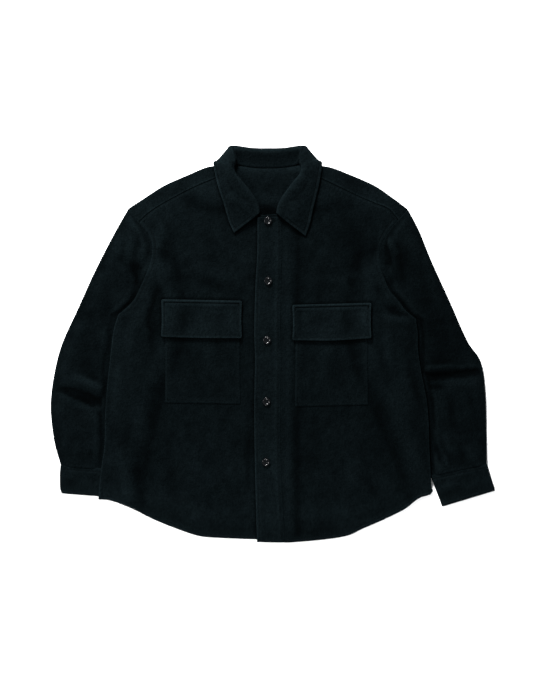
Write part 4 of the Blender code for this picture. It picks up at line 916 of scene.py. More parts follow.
front_hole_right = spline(shift(armhole_points(-1), 0.2)[2:], PER)
front_hole_left = spline(shift(armhole_points(1), -0.2)[2:], PER)
for edge_ in (front_hole_right, front_hole_left):
    edge_[0] += (edge_[1] - edge_[0]) / np.linalg.norm(edge_[1] - edge_[0]) * 1.5 * SEAM
seam_r = seam_line(-1)[::-1] - np.array([0, SEAM / 2])
neck_r = neck_edge(0, 4.5)
neck_r = neck_r[neck_r[:, 1] < YOKE_SEAM_RIGHT["y"][-1] - 4]
free = np.array([(UNDER_LAP, y) for y in np.linspace(-386, 250, 100)[1:]])
front_r_outline = np.vstack([seam_r[:-1], front_hole_right[:-1], line(SIDE_RIGHT, pitch=8.0)[:-1], line(HEM_RIGHT, pitch=8.0), free,
                             [(-12.0, 252.5)], neck_r])
deep_r = front_depth(-1)
front_r, front_r_top, _ = lying("front_right_panel", front_r_outline, front_low, CLOTH, groove=7.0, depth=deep_r, edge_lift=0.0,
                                stitch=(lambda x, y: deep_r(x, y) > 0.2,), sink=seam_sink(-1),
                                shape=lambda x, y, d: 1.1 * deep_r(x, y) * np.exp(-((d - 3.2) / 2.4) ** 2))
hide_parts("front_right")

seam_l = seam_line(1)[::-1] - np.array([0, SEAM / 2])
last = 2 * (ROWS - 1)
neck_l = neck_edge(last - 4.5, last)[::-1]
neck_l = neck_l[neck_l[:, 1] < YOKE_SEAM_LEFT["y"][-1] - 4]
hem_l = line(HEM_LEFT, pitch=8.0)[::-1]
hem_l = hem_l[hem_l[:, 0] > PLACKET_FOOT_X + 6]
foot = np.array([(PLACKET_FOOT_X, -391.8)])
inner = placket_edge[::-1] + np.column_stack([PLACKET_WIDTH - 4 + 4 * smooth((260 - placket_edge[::-1, 1]) / 200)
                                              + 3 * smooth((-250 - placket_edge[::-1, 1]) / 140), np.zeros(len(placket_edge))])
inner[-1, 1] = PLACKET_TOP_Y + 1.2
front_l_outline = np.vstack([seam_l[:-1], front_hole_left[:-1], line(SIDE_LEFT, pitch=8.0)[:-1], hem_l, foot, placket_edge[::-1],
                             [(-27.0, 252.2), (-8.0, 254.0)], neck_l])
deep_l = front_depth(1)


def hem_and_hole(x, y):
    return deep_l(x, y) * (x > 30)


front_l, front_l_top, _ = lying("front_left_panel", front_l_outline, left_front_low, CLOTH, groove=7.0, depth=hem_and_hole,
                                stitch=(lambda x, y: hem_and_hole(x, y) > 0.2,), sink=seam_sink(1),
                                shape=lambda x, y, d: 1.1 * hem_and_hole(x, y) * np.exp(-((d - 3.2) / 2.4) ** 2))
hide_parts("front_left")


# the placket: doubled, its free edge folded, its inner edge stitched down
def inner_x(y):
    return np.interp(y, inner[:, 1], inner[:, 0])


def placket_low(x, y):
    return left_front_low(x, y) + CLOTH + SEAM


def placket_depth(x, y):
    return np.where(x > inner_x(y) - 14, 0.32, 0.22) * (y < 238)


def placket_sink(x, y, d):
    to_inner = inner_x(y) - x
    return -(DOUBLED - 0.4) * (1 - smooth(to_inner / 9.0))


placket_outline = np.vstack([placket_edge, foot, inner[1:]])
placket, placket_top, _ = lying("placket_band", placket_outline, placket_low, DOUBLED, groove=6.0, depth=placket_depth, edge_lift=0.15,
                                sink=placket_sink, pitch=4.2, stitch=(lambda x, y: (placket_depth(x, y) > 0.1) & (y > -383),), material=WOOL_PAINTED_LIT)
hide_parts("placket")

for k, (side_name, low_of) in enumerate((("right", front_low), ("left", left_front_low))):
    row = {n: POCKETS[n][k] for n in POCKETS}
    mid_x = (row["flap_x0"] + row["flap_x1"]) / 2

    def bag_low(x, y, low_of=low_of):
        return low_of(x, y) + CLOTH + SEAM * 0.5

    def bag_depth(x, y, row=row):
        return np.where(np.asarray(y) < row["bag_bottom"] + 12, 0.42, 0.2) * (np.asarray(y) < row["bag_top"] - 14)

    bag, _, _ = lying(f"pocket_{side_name}_bag", pocket_outline(k, "bag"), bag_low, CLOTH * 0.85, groove=5.4, depth=bag_depth, edge_lift=0.22,
                      # painted shade along the bag's edge
                      painted_edge_light=-0.08,
                      sink=lambda x, y, d, row=row: -np.where(y < row["bag_bottom"] + 3, 0.4, 1.15) * (1 - smooth(d / 4.0)), stitch=(lambda x, y, row=row: y < row["bag_top"] - 14,))
    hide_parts("pocket_" + side_name)

    def from_top(x, y, row=row, mid_x=mid_x):
        return row["flap_top"] + (x - mid_x) * row["tilt"] - y

    def flap_low(x, y, low_of=low_of, from_top=from_top, row=row, mid_x=mid_x):
        t = np.clip(from_top(x, y) / 74, 0, 1)
        lift = 2.1 * smooth((t - 0.35) / 0.65) * (0.55 + 0.45 * np.cos((x - mid_x) / 79 * np.pi / 2) ** 2)
        return low_of(x, y) + 2 * CLOTH + SEAM + REST * 0.6 + lift + np.maximum(folds(FLAP_CREASES, x, y), -0.5)

    def flap_sink(x, y, d, from_top=from_top):
        return -1.5 * (1 - smooth(from_top(x, y) / 6.0))

    def flap_depth(x, y, from_top=from_top):
        return np.where(from_top(x, y) < 12, 1.35, 0.24)

    flap, _, _ = lying(f"flap_{side_name}_cover", pocket_outline(k, "flap"), flap_low, DOUBLED, groove=6.0, depth=flap_depth, edge_lift=0.35,
                       # painted highlight along the flap's edge
                       sink=flap_sink, pitch=3.6, step=2.6, material=WOOL_PAINTED_LIT, painted_edge_light=0.55)
    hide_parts("flap_" + side_name)


# ---------------------------------------------------------------- yoke: a front strip over each shoulder, its fold, the back part
def yoke_parts():
    pts, quads, strips = [], [], []
    back_steps = np.concatenate([[0], np.cumsum(np.ones(17))]) / 17
    for side, shoulder in ((-1, SHOULDER_RIGHT), (1, SHOULDER_LEFT)):
        hole_all = spline(shift(armhole_points(side), -side * 0.2), PER)[:4 * PER + 1]
        upper, under = hole_all[:2 * PER + 1], hole_all[2 * PER:]
        along = np.array(steps_to(200.0, 4.5)) / 200.0
        fold_line, front_line = line(shoulder, 200), respace(seam_line(side), 200)
        grid = []
        for f in along:
            at = f * 199
            d = np.array([np.interp(at, np.arange(200), fold_line[:, k]) for k in (0, 1)])
            e = np.array([np.interp(at, np.arange(200), front_line[:, k]) for k in (0, 1)]) + np.array([0, SEAM / 2])
            if f == 0:
                d, e = hole_all[0], upper[-1]
            end_x = fold_line[-1, 0] - 5 * side
            back = np.array([hole_all[-1, 0] * (1 - f) + end_x * f, BACK_YOKE_Y])
            ef, eb = (e - d) / np.linalg.norm(e - d), (back - d) / np.linalg.norm(back - d)
            straight = (hole_all[4] - hole_all[0]) / np.linalg.norm(hole_all[4] - hole_all[0])
            w = smooth(f / 0.1)
            ef, eb = ef * w + straight * (1 - w), eb * w + straight * (1 - w)
            low, r = float(bed(*(d + 6 * eb))), (CLOTH + float(air(*(d + 6 * eb)))) / 2
            start, finish = d + (1.0 + r) * ef, d + (1.0 + r) * eb
            column = []
            length = np.linalg.norm(e - start)
            front_steps = np.concatenate([EDGE_STEPS[EDGE_STEPS < 8] / max(length, 12), np.linspace(0.0, 1.0, 9)[1:] * (1 - 7.6 / max(length, 12)) + 7.6 / max(length, 12)])
            for g in front_steps[:-1]:
                p = e + (start - e) * g
                column.append((*p, float(under_front_low(*p)) + float(fine(*p)) * smooth(np.linalg.norm(start - p) / 25) + CLOTH / 2))
            for a in np.radians(np.linspace(90, -90, 13)):
                turn = (a / np.pi * 2 + 1) / 2
                direction = ef * turn + eb * (1 - turn)
                p = d + (1.0 + r * (1 - np.cos(a))) * direction
                column.append((*p, low + CLOTH / 2 + r + r * np.sin(a)))
            for g in back_steps[1:]:
                p = finish + (back - finish) * g
                i = g * (len(hole_all) - 1)
                h = np.array([np.interp(i, np.arange(len(hole_all)), hole_all[:, k]) for k in (0, 1)])
                p = p + (1 - f) ** 3 * (h - (hole_all[0] + (hole_all[-1] - hole_all[0]) * g))
                column.append((*p, float(bed(*p)) + CLOTH / 2))
            grid.append(column)
        strips.append(np.array(grid))
    right, left = strips
    m, n = right.shape[:2]
    back_rows = len(back_steps)
    first = n - back_rows
    pts = np.vstack([right.reshape(-1, 3), left.reshape(-1, 3)])
    base = m * n
    quads = [(i * n + j, i * n + j + 1, (i + 1) * n + j + 1, (i + 1) * n + j) for i in range(m - 1) for j in range(n - 1)]
    quads += [(base + i * n + j, base + (i + 1) * n + j, base + (i + 1) * n + j + 1, base + i * n + j + 1) for i in range(m - 1) for j in range(n - 1)]
    a, b = right[-1, -1], left[-1, -1]
    previous = [(m - 1) * n + first + k for k in range(back_rows)]
    neck = neck_edge(7.5, 2 * (ROWS - 1) - 7.5)
    neck = respace(neck, 44)[1:-1]
    extra = []
    for i, p in enumerate(neck):
        f = (i + 1) / (len(neck) + 1)
        bottom = np.array([a[0] * (1 - f) + b[0] * f, BACK_YOKE_Y])
        here = []
        for g in back_steps:
            q = p + (bottom - p) * g
            here.append(2 * base + len(extra))
            extra.append((*q, float(bed(*q)) + CLOTH / 2 + 0.35 * max(0.0, float(waves(*q, 46, 12))) * smooth(g * 6) * smooth((1 - g) * 4)))
        quads += [(previous[k], previous[k + 1], here[k + 1], here[k]) for k in range(back_rows - 1)]
        previous = here
    here = [base + (m - 1) * n + first + k for k in range(back_rows)]
    quads += [(previous[k], previous[k + 1], here[k + 1], here[k]) for k in range(back_rows - 1)]
    return np.vstack([pts, np.array(extra)]), np.array(quads), m, n


def yoke():
    pts, quads, m, n = yoke_parts()
    d = rim_distance(pts, quads)
    half = CLOTH / 2 * rounded(d)
    # the seam allowance under the front seam raises the yoke's edge, with one row of stitches behind it
    seams = [seam_line(side) for side in (-1, 1)]
    to_seam = np.minimum(*(near(pts[:, 0], pts[:, 1], s, closed=False) for s in seams))
    strip = (np.arange(len(pts)) < 2 * m * n) & (np.arange(len(pts)) % n < n - 24)
    above = np.zeros(len(pts))
    above[strip] = (1.5 * np.exp(-((to_seam - 2.6) / 2.6) ** 2) * smooth(to_seam / 1.0) - 0.6 * np.exp(-((to_seam - 6.6) / 1.0) ** 2))[strip]
    # painted highlight along the yoke's edge by the front seam
    pale = 1 + 0.45 * strip * np.exp(-((to_seam - 1.9) / 1.5) ** 2)
    PAINTED_EDGE_LIGHT["yoke_shell"] = np.concatenate([pale, pale])
    shell, upper, _, _ = quad_shell("yoke_shell", pts, quads, half + above, half)
    for k in (0, 1):
        grid = np.arange(k * m * n, (k + 1) * m * n).reshape(m, n)
        row = np.array([[np.interp(6.6, to_seam[g[:12]], upper[g[:12], c]) for c in range(3)] for g in grid[4:-1]])
        THREAD.append(row)
    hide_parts("yoke")


yoke()


# ---------------------------------------------------------------- collar
def collar():
    ctrl = []
    for row, top_side in zip(sections, over_fronts):
        neck, roll, bend, turn, edge = row
        first = neck + 0.62 * (roll - neck)
        first[2] = neck[2] + 0.5 * (roll[2] - neck[2])
        mid = turn + 0.5 * (edge - turn)
        if not top_side:
            mid[2] = max(edge[2], turn[2] - 2.5) if turn[2] > 3 else edge[2]
        ctrl.append(np.array([neck, first, roll, bend, turn, mid, edge]))
    ctrl = np.array(ctrl)
    spans = len(ctrl) - 1
    end = np.array([0, 0.013, 0.032, 0.05, 0.10, 0.16, 0.20, 0.225, 0.25, 0.275, 0.31, 0.38])   # 24 mm to the first span
    places = np.concatenate([end, np.linspace(0.38, spans - 0.38, 190)[1:-1], spans - end[::-1]])
    rows = spline_at(ctrl, places)
    count = 64
    grid = []
    for r in rows:
        curve = spline(r, 14)
        s = np.concatenate([[0], np.cumsum(np.linalg.norm(np.diff(curve, axis=0), axis=1))])
        from_edge = EDGE_STEPS
        rest = np.linspace(0, s[-1] - 9.4, count - len(from_edge) + 1)[:-1]
        at = np.concatenate([rest, s[-1] - from_edge[::-1]])
        grid.append(np.stack([np.interp(at, s, curve[:, k]) for k in range(3)], 1))
    grid = np.array(grid)
    m, n = grid.shape[:2]
    flat = grid.reshape(-1, 3)
    share = np.tile(np.arange(n) / (n - 1), m)
    half_at = np.abs(np.repeat(places, n) - (ROWS - 1))
    on_leaf = (share > 0.42) & (half_at >= 5.4)
    need = body_top(flat[:, 0], flat[:, 1]) + fine(flat[:, 0], flat[:, 1]) + REST + DOUBLED / 2 + 0.4
    flat[:, 2] = np.maximum(np.where(on_leaf, np.maximum(flat[:, 2], need), flat[:, 2]), DOUBLED / 2 + 0.1)
    # soft unevenness of a turned-down collar
    soft = smooth((share - 0.3) / 0.2) * (half_at > 4.6)
    flat[:, 2] += np.maximum(0.55 * waves(flat[:, 0], flat[:, 1], 44, 21), -0.2) * soft * smooth(half_at - 4.6)
    quads = np.array([(i * n + j, (i + 1) * n + j, (i + 1) * n + j + 1, i * n + j + 1) for i in range(m - 1) for j in range(n - 1)])
    d = rim_distance(flat, quads)
    half = DOUBLED / 2 * rounded(d, 1.4)
    leaf = smooth((share - 0.34) / 0.1) * (half_at > 3.9)
    groove = -0.75 * np.exp(-((d - 6.2) / 1.0) ** 2) + 0.5 * np.exp(-((d - 2.8) / 2.2) ** 2)
    # painted highlight along the leaves' turned edges
    pale = 1 + 0.6 * leaf * np.exp(-((d - 1.3) / 1.3) ** 2)
    # the sharp fold between leaf and inner band at each top corner
    tucks = [np.array(t, float) for t in COLLAR_TUCKS]
    to_tuck = np.minimum(*(near(flat[:, 0], flat[:, 1], t, closed=False) for t in tucks))
    groove = groove * leaf - 0.55 * np.exp(-(to_tuck / 1.6) ** 2) * smooth((d - 2.0) / 3.0)
    # painted shade along the tucks
    PAINTED_GROOVE_SHADE["collar_shell"] = tucks
    PAINTED_EDGE_LIGHT["collar_shell"] = np.concatenate([pale, pale])
    shell, upper, lower, _ = quad_shell("collar_shell", flat, quads, half + groove, half, material=WOOL_PAINTED_LIT)
    # stitches along both leaves' edges
    index = np.arange(m * n).reshape(m, n)
    j_row = n - 1 - int(np.argmin(np.abs(EDGE_STEPS - 6.2)))
    i_row = int(np.argmin(np.abs(end - 0.25)))
    keep = half_at.reshape(m, n)[:, 0] > 5.2
    for part in (index[(keep & (places < spans / 2)), j_row], index[(keep & (places > spans / 2)), j_row]):
        THREAD.append(upper[part[i_row:] if part[0] < m * n / 2 else part[:-i_row]])
    THREAD.append(upper[index[i_row, int(0.44 * n):j_row]])
    THREAD.append(upper[index[m - 1 - i_row, int(0.44 * n):j_row]])
    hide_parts("collar")


collar()


# ---------------------------------------------------------------- sleeves and cuffs
def fine_ring(path, stack, wall, rise, corners=6):
    """Outer and inner loops of a flattened tube, with evenly rounded sides."""
    s = np.concatenate([[0], np.cumsum(np.linalg.norm(np.diff(path, axis=0), axis=1))])
    loops = []
    for inset_, low, high in ((0.0, 0.0, stack), (wall, wall, stack - wall)):
        r = (high - low) / 2
        corner = np.radians(np.linspace(8, 82, corners))
        at, dz = inset_ + r * (1 - np.cos(corner)), r * np.sin(corner)
        if r < 1.2:
            at = inset_ + 2.4 * (1 - np.cos(corner))
        middle = s[1:-1]
        up = np.concatenate([at, middle, s[-1] - at[::-1]])
        z = np.concatenate([dz, np.full(len(middle), r), dz[::-1]])
        p = np.stack([np.interp(up, s, path[:, k]) for k in range(2)], 1)
        top = low + r + z + rise(p[:, 0], p[:, 1]) * (z / max(r, 1e-6))
        loops.append(np.vstack([np.column_stack([p, top]), np.column_stack([p, low + r - z])[::-1]]))
    return loops


def tube_shell(name, outs, ins, material=None):
    k, n = len(outs), len(outs[0])
    verts = np.vstack([np.vstack(outs), np.vstack(ins)])
    i, j = np.meshgrid(np.arange(k - 1), np.arange(n), indexing="ij")
    q = np.stack([i * n + j, i * n + (j + 1) % n, (i + 1) * n + (j + 1) % n, (i + 1) * n + j], -1).reshape(-1, 4)
    quads = [q, q[:, ::-1] + k * n]
    for base, flip in ((0, False), ((k - 1) * n, True)):
        e = np.array([(base + a, base + a + k * n, base + (a + 1) % n + k * n, base + (a + 1) % n) for a in range(n)])
        quads.append(e[:, ::-1] if flip else e)
    q = np.vstack(quads)
    t = np.vstack([q[:, [0, 1, 2]], q[:, [0, 2, 3]]])
    if (np.cross(verts[t[:, 0]], verts[t[:, 1]]) * verts[t[:, 2]]).sum() < 0:
        q = q[:, ::-1]
    return make(name, verts, q, material or WOOL)


def sleeve(name, side):
    tab, armhole, seam = (SLEEVE_RIGHT, ARMHOLE_RIGHT, SIDE_RIGHT) if side < 0 else (SLEEVE_LEFT, ARMHOLE_LEFT, SIDE_LEFT)
    outer = line(tab, 60, names=("out_x", "out_y"))
    table_rows = np.stack([tab[n] for n in ("out_x", "out_y", "in_x", "in_y")], 1)
    spans = len(table_rows) - 1
    places = np.concatenate([[0, 0.006, 0.016, 0.035], np.linspace(0.07, spans - 0.07, 118), spans - np.array([0.035, 0.02, 0.008, 0])])
    rows = spline_at(table_rows, places)
    points = 56

    hole_line = spline(armhole_points(side)[:9], PER)
    over = front_low if side < 0 else left_front_low

    def rise(x, y):
        body = edge_at(np.clip(y, -400, 268), armhole, seam)
        clear = side * (x - body)
        rim = near(x, y, outer, closed=False).reshape(np.shape(x))
        puff = smooth((clear - 3) / 17) * smooth(rim / 26)
        soft = folds(SLEEVE_FOLDS, x, y) + creases(ARM_CREASES, x, y) + 0.3 * waves(x, y, 66, 31 if side < 0 else 32) + 0.08 * waves(x, y, 26, 33)
        crease_puff = smooth((clear - 4) / 8) * smooth(rim / 12)
        high = np.maximum(SLEEVE_PUFF * puff + soft * crease_puff, -1.3 * crease_puff)
        # at the armhole seam the sleeve's upper side comes up to the front's edge
        to_hole = near(x, y, hole_line, closed=False).reshape(np.shape(x))
        meet = (1 - smooth(to_hole / 22)) * smooth((y - 108) / 44)
        return high + np.maximum(over(x, y) + 0.6 * CLOTH - SLEEVE_STACK - high, 0) * meet

    def across(r):
        share = np.linspace(0, 1, 201)[:, None]
        path = r[:2] + (r[2:] - r[:2]) * share
        clear = side * (path[:, 0] - edge_at(path[:, 1], armhole, seam))
        shown = min(0.95, share[clear > 1.5].max())
        t = np.concatenate([np.linspace(0, shown, points - 5), np.linspace(shown, 1, 6)[1:]])
        return r[:2] + (r[2:] - r[:2]) * t[:, None]

    hole_ = spline(shift(armhole_points(side), side * -0.9)[:9], PER)   # the seam allowance, just inside the body's edge
    first = np.vstack([respace(hole_, points - 5), np.linspace(hole_[-1], table_rows[0, 2:], 6)[1:]])
    even = np.linspace(0, 1, points)[:, None]
    full = spline_at(table_rows, np.array([2.5]))[0]
    straight = across(full)
    outs, ins = [], []
    for t, r in zip(places, rows):
        path = across(r)
        if t < 2.5:
            share = np.linalg.norm(r[:2] - rows[0, :2]) / np.linalg.norm(full[:2] - rows[0, :2])
            path = first + (straight - first) * share
            path = path + (r[:2] - path[0]) * (1 - even) + (r[2:] - path[-1]) * even
        o, i = fine_ring(path, SLEEVE_STACK, 1.8, rise)
        outs.append(o)
        ins.append(i)
    for k, share in ((0, 0.12), (1, 0.55), (2, 0.86), (len(outs) - 1, 0.45), (len(outs) - 2, 0.6), (len(outs) - 3, 0.86)):
        middle = (outs[k] + ins[k]) / 2
        outs[k], ins[k] = middle + (outs[k] - middle) * share, middle + (ins[k] - middle) * share
    reach = np.array([0.0, -1.4, 0.0])                        # the last rings reach just under the cuff's rounded edge
    for k in range(1, 5):
        outs[-k], ins[-k] = outs[-k] + reach * (5 - k) / 4, ins[-k] + reach * (5 - k) / 4
    shell = tube_shell(name, outs, ins)
    side_name = "right" if side < 0 else "left"
    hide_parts("sleeve_" + side_name)


def cuff(name, side):
    tab = CUFF_RIGHT if side < 0 else CUFF_LEFT
    rows = np.stack([tab[n] for n in ("out_x", "out_y", "in_x", "in_y")], 1)
    s = np.concatenate([[0], np.cumsum(np.linalg.norm(np.diff(rows[:, :2], axis=0), axis=1))])
    length = s[-1]
    ends = np.array([0, 0.3, 0.75, 1.2, 2.4, 4.0, 6.0, 7.0, 7.7, 8.4, 9.4, 11.5])
    at = np.concatenate([ends, np.linspace(11.5, length - 11.5, 10)[1:-1], length - ends[::-1]])
    outs, ins = [], []
    stack = 2 * CUFF_CLOTH + 0.6
    rows_of_thread = [[], []]
    for t in at:
        r = np.array([np.interp(t, s, rows[:, k]) for k in range(4)])
        path = r[:2] + (r[2:] - r[:2]) * np.linspace(0, 1, 40)[:, None]
        from_end = min(t, length - t)
        groove = 0.5 * np.exp(-((from_end - 7.7) / 0.95) ** 2) - 0.3 * np.exp(-((from_end - 3.6) / 2.6) ** 2)

        def rise(x, y, groove=groove, r=r):
            share = np.clip(np.hypot(x - r[0], y - r[1]) / np.hypot(*(r[2:] - r[:2])), 0, 1)
            swell = 0.9 * np.sin(np.pi * share) ** 0.6 + 0.22 * waves(x, y, 34, 41)
            return swell - groove
        o, i = fine_ring(path, stack, 2.0, rise)
        full = np.sqrt(max(0.0, 1 - (1 - min(from_end / 1.2, 1)) ** 2))
        middle = (o + i) / 2
        o, i = middle + (o - middle) * max(full, 0.1), middle + (i - middle) * max(full, 0.1)
        outs.append(o)
        ins.append(i)
        for k, place in enumerate((7.7, length - 7.7)):
            if abs(t - place) < 1e-6:
                rows_of_thread[k] = o[4:44]
    for r in rows_of_thread:
        THREAD.append(np.array(r))
    shell = tube_shell(name, outs, ins, WOOL_PAINTED_LIT)
    side_name = "right" if side < 0 else "left"
    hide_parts("cuff_" + side_name)


for side_, name_ in ((-1, "right"), (1, "left")):
    sleeve(f"sleeve_{name_}_shell", side_)
    cuff(f"cuff_{name_}_shell", side_)


# ---------------------------------------------------------------- buttons, their thread, buttonholes and all rows of stitches
def capsules(name, centres, directions, lengths, radius, sides=5):
    """Many short thread stitches as one mesh."""
    centres, directions = np.asarray(centres, float), np.asarray(directions, float)
    directions = directions / np.linalg.norm(directions, axis=1)[:, None]
    side_way = np.cross(directions, [0, 0, 1.0])
    side_way /= np.linalg.norm(side_way, axis=1)[:, None]
    up = np.cross(side_way, directions)
    lengths = np.broadcast_to(np.asarray(lengths, float), len(centres))
    turn = np.arange(sides) / sides * 2 * np.pi
    stations = ((-0.5, 0.25, -0.9), (-0.36, 0.9, -0.15), (0.0, 1.0, 0.1), (0.36, 0.9, -0.15), (0.5, 0.25, -0.9))
    verts = []
    for place, size, sink in stations:
        base = centres + directions * (place * lengths)[:, None] + up * (sink * radius)
        verts.append(base[:, None] + (np.cos(turn)[None, :, None] * side_way[:, None] + np.sin(turn)[None, :, None] * up[:, None]) * radius * size)
    verts = np.stack(verts, 1)                                       # (stitch, station, side, xyz)
    per = len(stations) * sides
    q = np.array([(i * sides + j, i * sides + (j + 1) % sides, (i + 1) * sides + (j + 1) % sides, (i + 1) * sides + j)
                  for i in range(len(stations) - 1) for j in range(sides)])
    t = np.vstack([q[:, [0, 1, 2]], q[:, [0, 2, 3]]])
    fan = [(0, j + 1, j) for j in range(1, sides - 1)] + [(per - sides, per - sides + j, per - sides + j + 1) for j in range(1, sides - 1)]
    t = np.vstack([t, np.array(fan)])
    v = verts[0].reshape(-1, 3)
    t = outward(v - v.mean(0), t)
    tris = (t[None] + per * np.arange(len(centres))[:, None, None]).reshape(-1, 3)
    return make(name, verts.reshape(-1, 3), tris, THREAD_FINISH)


def button(k):
    x0, y0 = BUTTONS["x"][k], BUTTONS["y"][k]
    base = float(placket_top(np.array([x0]), np.array([y0]), np.array([20.0]))[0]) + 0.35
    radii = np.array([7.75, 7.62, 7.3, 6.9, 6.4, 5.9, 5.4, 4.9, 4.4, 4.0, 3.5])
    loops = [np.stack([r * np.cos(a), r * np.sin(a)], 1) for r in radii for a in [np.linspace(0, 2 * np.pi, 56, endpoint=False)]]
    holes = [(sx * BUTTON_PITCH / 2, sy * BUTTON_PITCH / 2) for sx, sy in ((1, 1), (-1, 1), (-1, -1), (1, -1))]
    small = []
    for hx, hy in holes:
        for r in (BUTTON_HOLE_D / 2, BUTTON_HOLE_D / 2 + 0.16, BUTTON_HOLE_D / 2 + 0.42):
            a = np.linspace(0, 2 * np.pi, 18, endpoint=False)
            small.append(np.stack([hx + r * np.cos(a), hy + r * np.sin(a)], 1))
    pts, faces_in = [], []
    for loop in loops + small:
        faces_in.append(list(range(len(pts), len(pts) + len(loop))))
        pts += [tuple(p) for p in loop]
    pts += [(0, 0), (0, 2.9), (0, -2.9), (2.9, 0), (-2.9, 0)]
    v, _, tris, origin, _, of_faces = delaunay_2d_cdt([Vector(p) for p in pts], [], faces_in, 1, 1e-5)
    hole_ids = {len(loops) + 3 * h for h in range(4)}
    tris = [t for t, o in zip(tris, of_faces) if not hole_ids & set(o)]
    v = np.array([tuple(p) for p in v])
    r = np.hypot(v[:, 0], v[:, 1])
    high = np.interp(r, [0, 3.5, 4.0, 4.4, 4.9, 5.4, 5.9, 6.4, 6.9, 7.3, 7.62, 7.75],
                     [2.02, 2.06, 2.1, 2.22, 2.62, 3.0, 3.16, 3.2, 3.12, 2.86, 2.4, 1.75])
    low = np.interp(r, [0, 6.4, 7.3, 7.75], [0.0, 0.0, 0.35, 1.45])
    to_hole = np.min([np.hypot(v[:, 0] - hx, v[:, 1] - hy) for hx, hy in holes], axis=0) - BUTTON_HOLE_D / 2
    high = high - 0.34 * np.clip(1 - to_hole / 0.42, 0, 1) ** 2
    used = np.unique(np.array(tris))
    remap = np.full(len(v), -1)
    remap[used] = np.arange(len(used))
    v, high, low = v[used], high[used], low[used]
    t = remap[np.array(tris)]
    n = len(v)
    edges = {}
    for a, b, c in t:
        for e in ((a, b), (b, c), (c, a)):
            edges[(int(e[0]), int(e[1]))] = True
    rim = [(a, b) for a, b in edges if (b, a) not in edges]
    side_tris = [(b, a, a + n) for a, b in rim] + [(b, a + n, b + n) for a, b in rim]
    verts = np.vstack([np.column_stack([v[:, 0] + x0, v[:, 1] + y0, base + high]), np.column_stack([v[:, 0] + x0, v[:, 1] + y0, base + low])])
    obj = make(f"button_{k + 1}_disc", verts, outward(verts, np.vstack([t, t[:, ::-1] + n, side_tris])), GLOSS)
    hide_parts(f"button_{k + 1}")
    return base, holes


cen, way, size = [], [], []
for k in range(5):
    base, holes = button(k)
    x0, y0 = BUTTONS["x"][k], BUTTONS["y"][k]
    for (ax, ay), (bx, by) in ((holes[1], holes[0]), (holes[2], holes[3])):
        for off in (-0.34, 0.0, 0.34):
            cen.append((x0 + (ax + bx) / 2, y0 + (ay + by) / 2 + off, base + 2.3))
            way.append((bx - ax, by - ay, 0.0))
            size.append(BUTTON_PITCH + 1.1)
    # the buttonhole under it: two rows of short stitches across a slit, with a bar at each end
    for sx in (-1, 1):
        for yy in np.linspace(-9.6, 9.6, 34):
            px_, py_ = x0 + sx * 0.9, y0 + yy
            cen.append((px_, py_, float(placket_top(np.array([px_]), np.array([py_]), np.array([20.0]))[0]) + 0.12))
            way.append((1.0, 0.12, 0.0))
            size.append(1.7)
    for yy in (-10.2, 10.2):
        for off in np.linspace(-1.5, 1.5, 7):
            px_, py_ = x0 + off, y0 + yy
            cen.append((px_, py_, float(placket_top(np.array([px_]), np.array([py_]), np.array([20.0]))[0]) + 0.12))
            way.append((0.05, 1.0, 0.0))
            size.append(1.6)
sewn = capsules("button_thread", cen, way, size, 0.26)

cen, way = [], []
STITCH, PITCH = 2.5, 3.3
for row in THREAD:
    row = np.asarray(row, float)
    length = np.linalg.norm(np.diff(row, axis=0), axis=1).sum()
    if length < 8:
        continue
    p = respace(row, max(3, int(length / PITCH)))
    mid = (p[1:] + p[:-1]) / 2
    d = p[1:] - p[:-1]
    mid[:, 2] += 0.02
    cen.append(mid)
    way.append(d)
stitched = capsules("stitches", np.vstack(cen), np.vstack(way), STITCH, 0.24)
print("stitches", len(np.vstack(cen)))

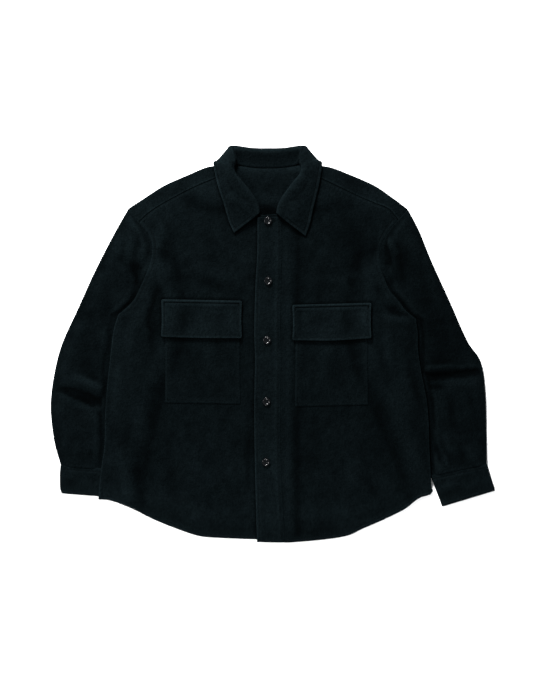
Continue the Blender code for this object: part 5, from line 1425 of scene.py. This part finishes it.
# ---------------------------------------------------------------- floor, light, camera
floor_mesh = bpy.data.meshes.new("floor")
floor_mesh.from_pydata([(-6, -6, -0.0006), (6, -6, -0.0006), (6, 6, -0.0006), (-6, 6, -0.0006)], [], [(0, 1, 2, 3)])
floor = bpy.data.objects.new("floor", floor_mesh)
bpy.context.scene.collection.objects.link(floor)
pale, tree, shader = nodes_of("pale_floor", (0.93, 0.93, 0.93), 0.9)
grain = noise(tree, 40, 3, 0.5)
tone = mix_colours(tree, ramp(tree, grain.outputs["Fac"], 0.3, 0.7), (0.925, 0.925, 0.925), (0.935, 0.935, 0.935))
tree.links.new(tone.outputs["Result"], shader.inputs["Base Color"])
shader.inputs["Specular IOR Level"].default_value = 0.1
floor_mesh.materials.append(pale)

world = bpy.data.worlds.new("studio")
bpy.context.scene.world = world
world.use_nodes = True
world.node_tree.nodes["Background"].inputs["Color"].default_value = (0.95, 0.98, 1.0, 1)
world.node_tree.nodes["Background"].inputs["Strength"].default_value = 0.45


def softbox(name, place, size, power):
    light = bpy.data.lights.new(name, "AREA")
    light.shape = "RECTANGLE"
    light.size, light.size_y = size
    light.energy = power
    obj = bpy.data.objects.new(name, light)
    obj.location = place
    obj.rotation_euler = (Vector((0, 0, 0)) - Vector(place)).to_track_quat("-Z", "Y").to_euler()
    bpy.context.scene.collection.objects.link(obj)


softbox("key", (-0.7, 2.5, 1.35), (0.8, 0.6), 330)
softbox("side", (-2.6, 0.2, 1.4), (0.9, 0.9), 80)
softbox("low", (-0.3, -2.2, 1.4), (0.5, 0.4), 70)

LENS = 85.0
cam = bpy.data.cameras.new("camera")
cam.lens, cam.sensor_width, cam.sensor_fit = LENS, 36.0, "AUTO"
cam.dof.use_dof = False
camera = bpy.data.objects.new("camera", cam)
height = FRAME_H * PX * MM * LENS / 36.0
camera.location = (OFFSET[0] * MM + (LOOK_X - 0.5) * MM, OFFSET[1] * MM + (LOOK_Y - 0.5) * MM, height / 1.005 + 0.008)
camera.rotation_euler = (0, 0, 0)
bpy.context.scene.collection.objects.link(camera)
bpy.context.scene.camera = camera
bpy.context.scene.view_settings.view_transform = "Standard"
bpy.context.scene.view_settings.look = "None"
bpy.context.scene.view_settings.exposure = 0.0

bpy.context.view_layer.update()
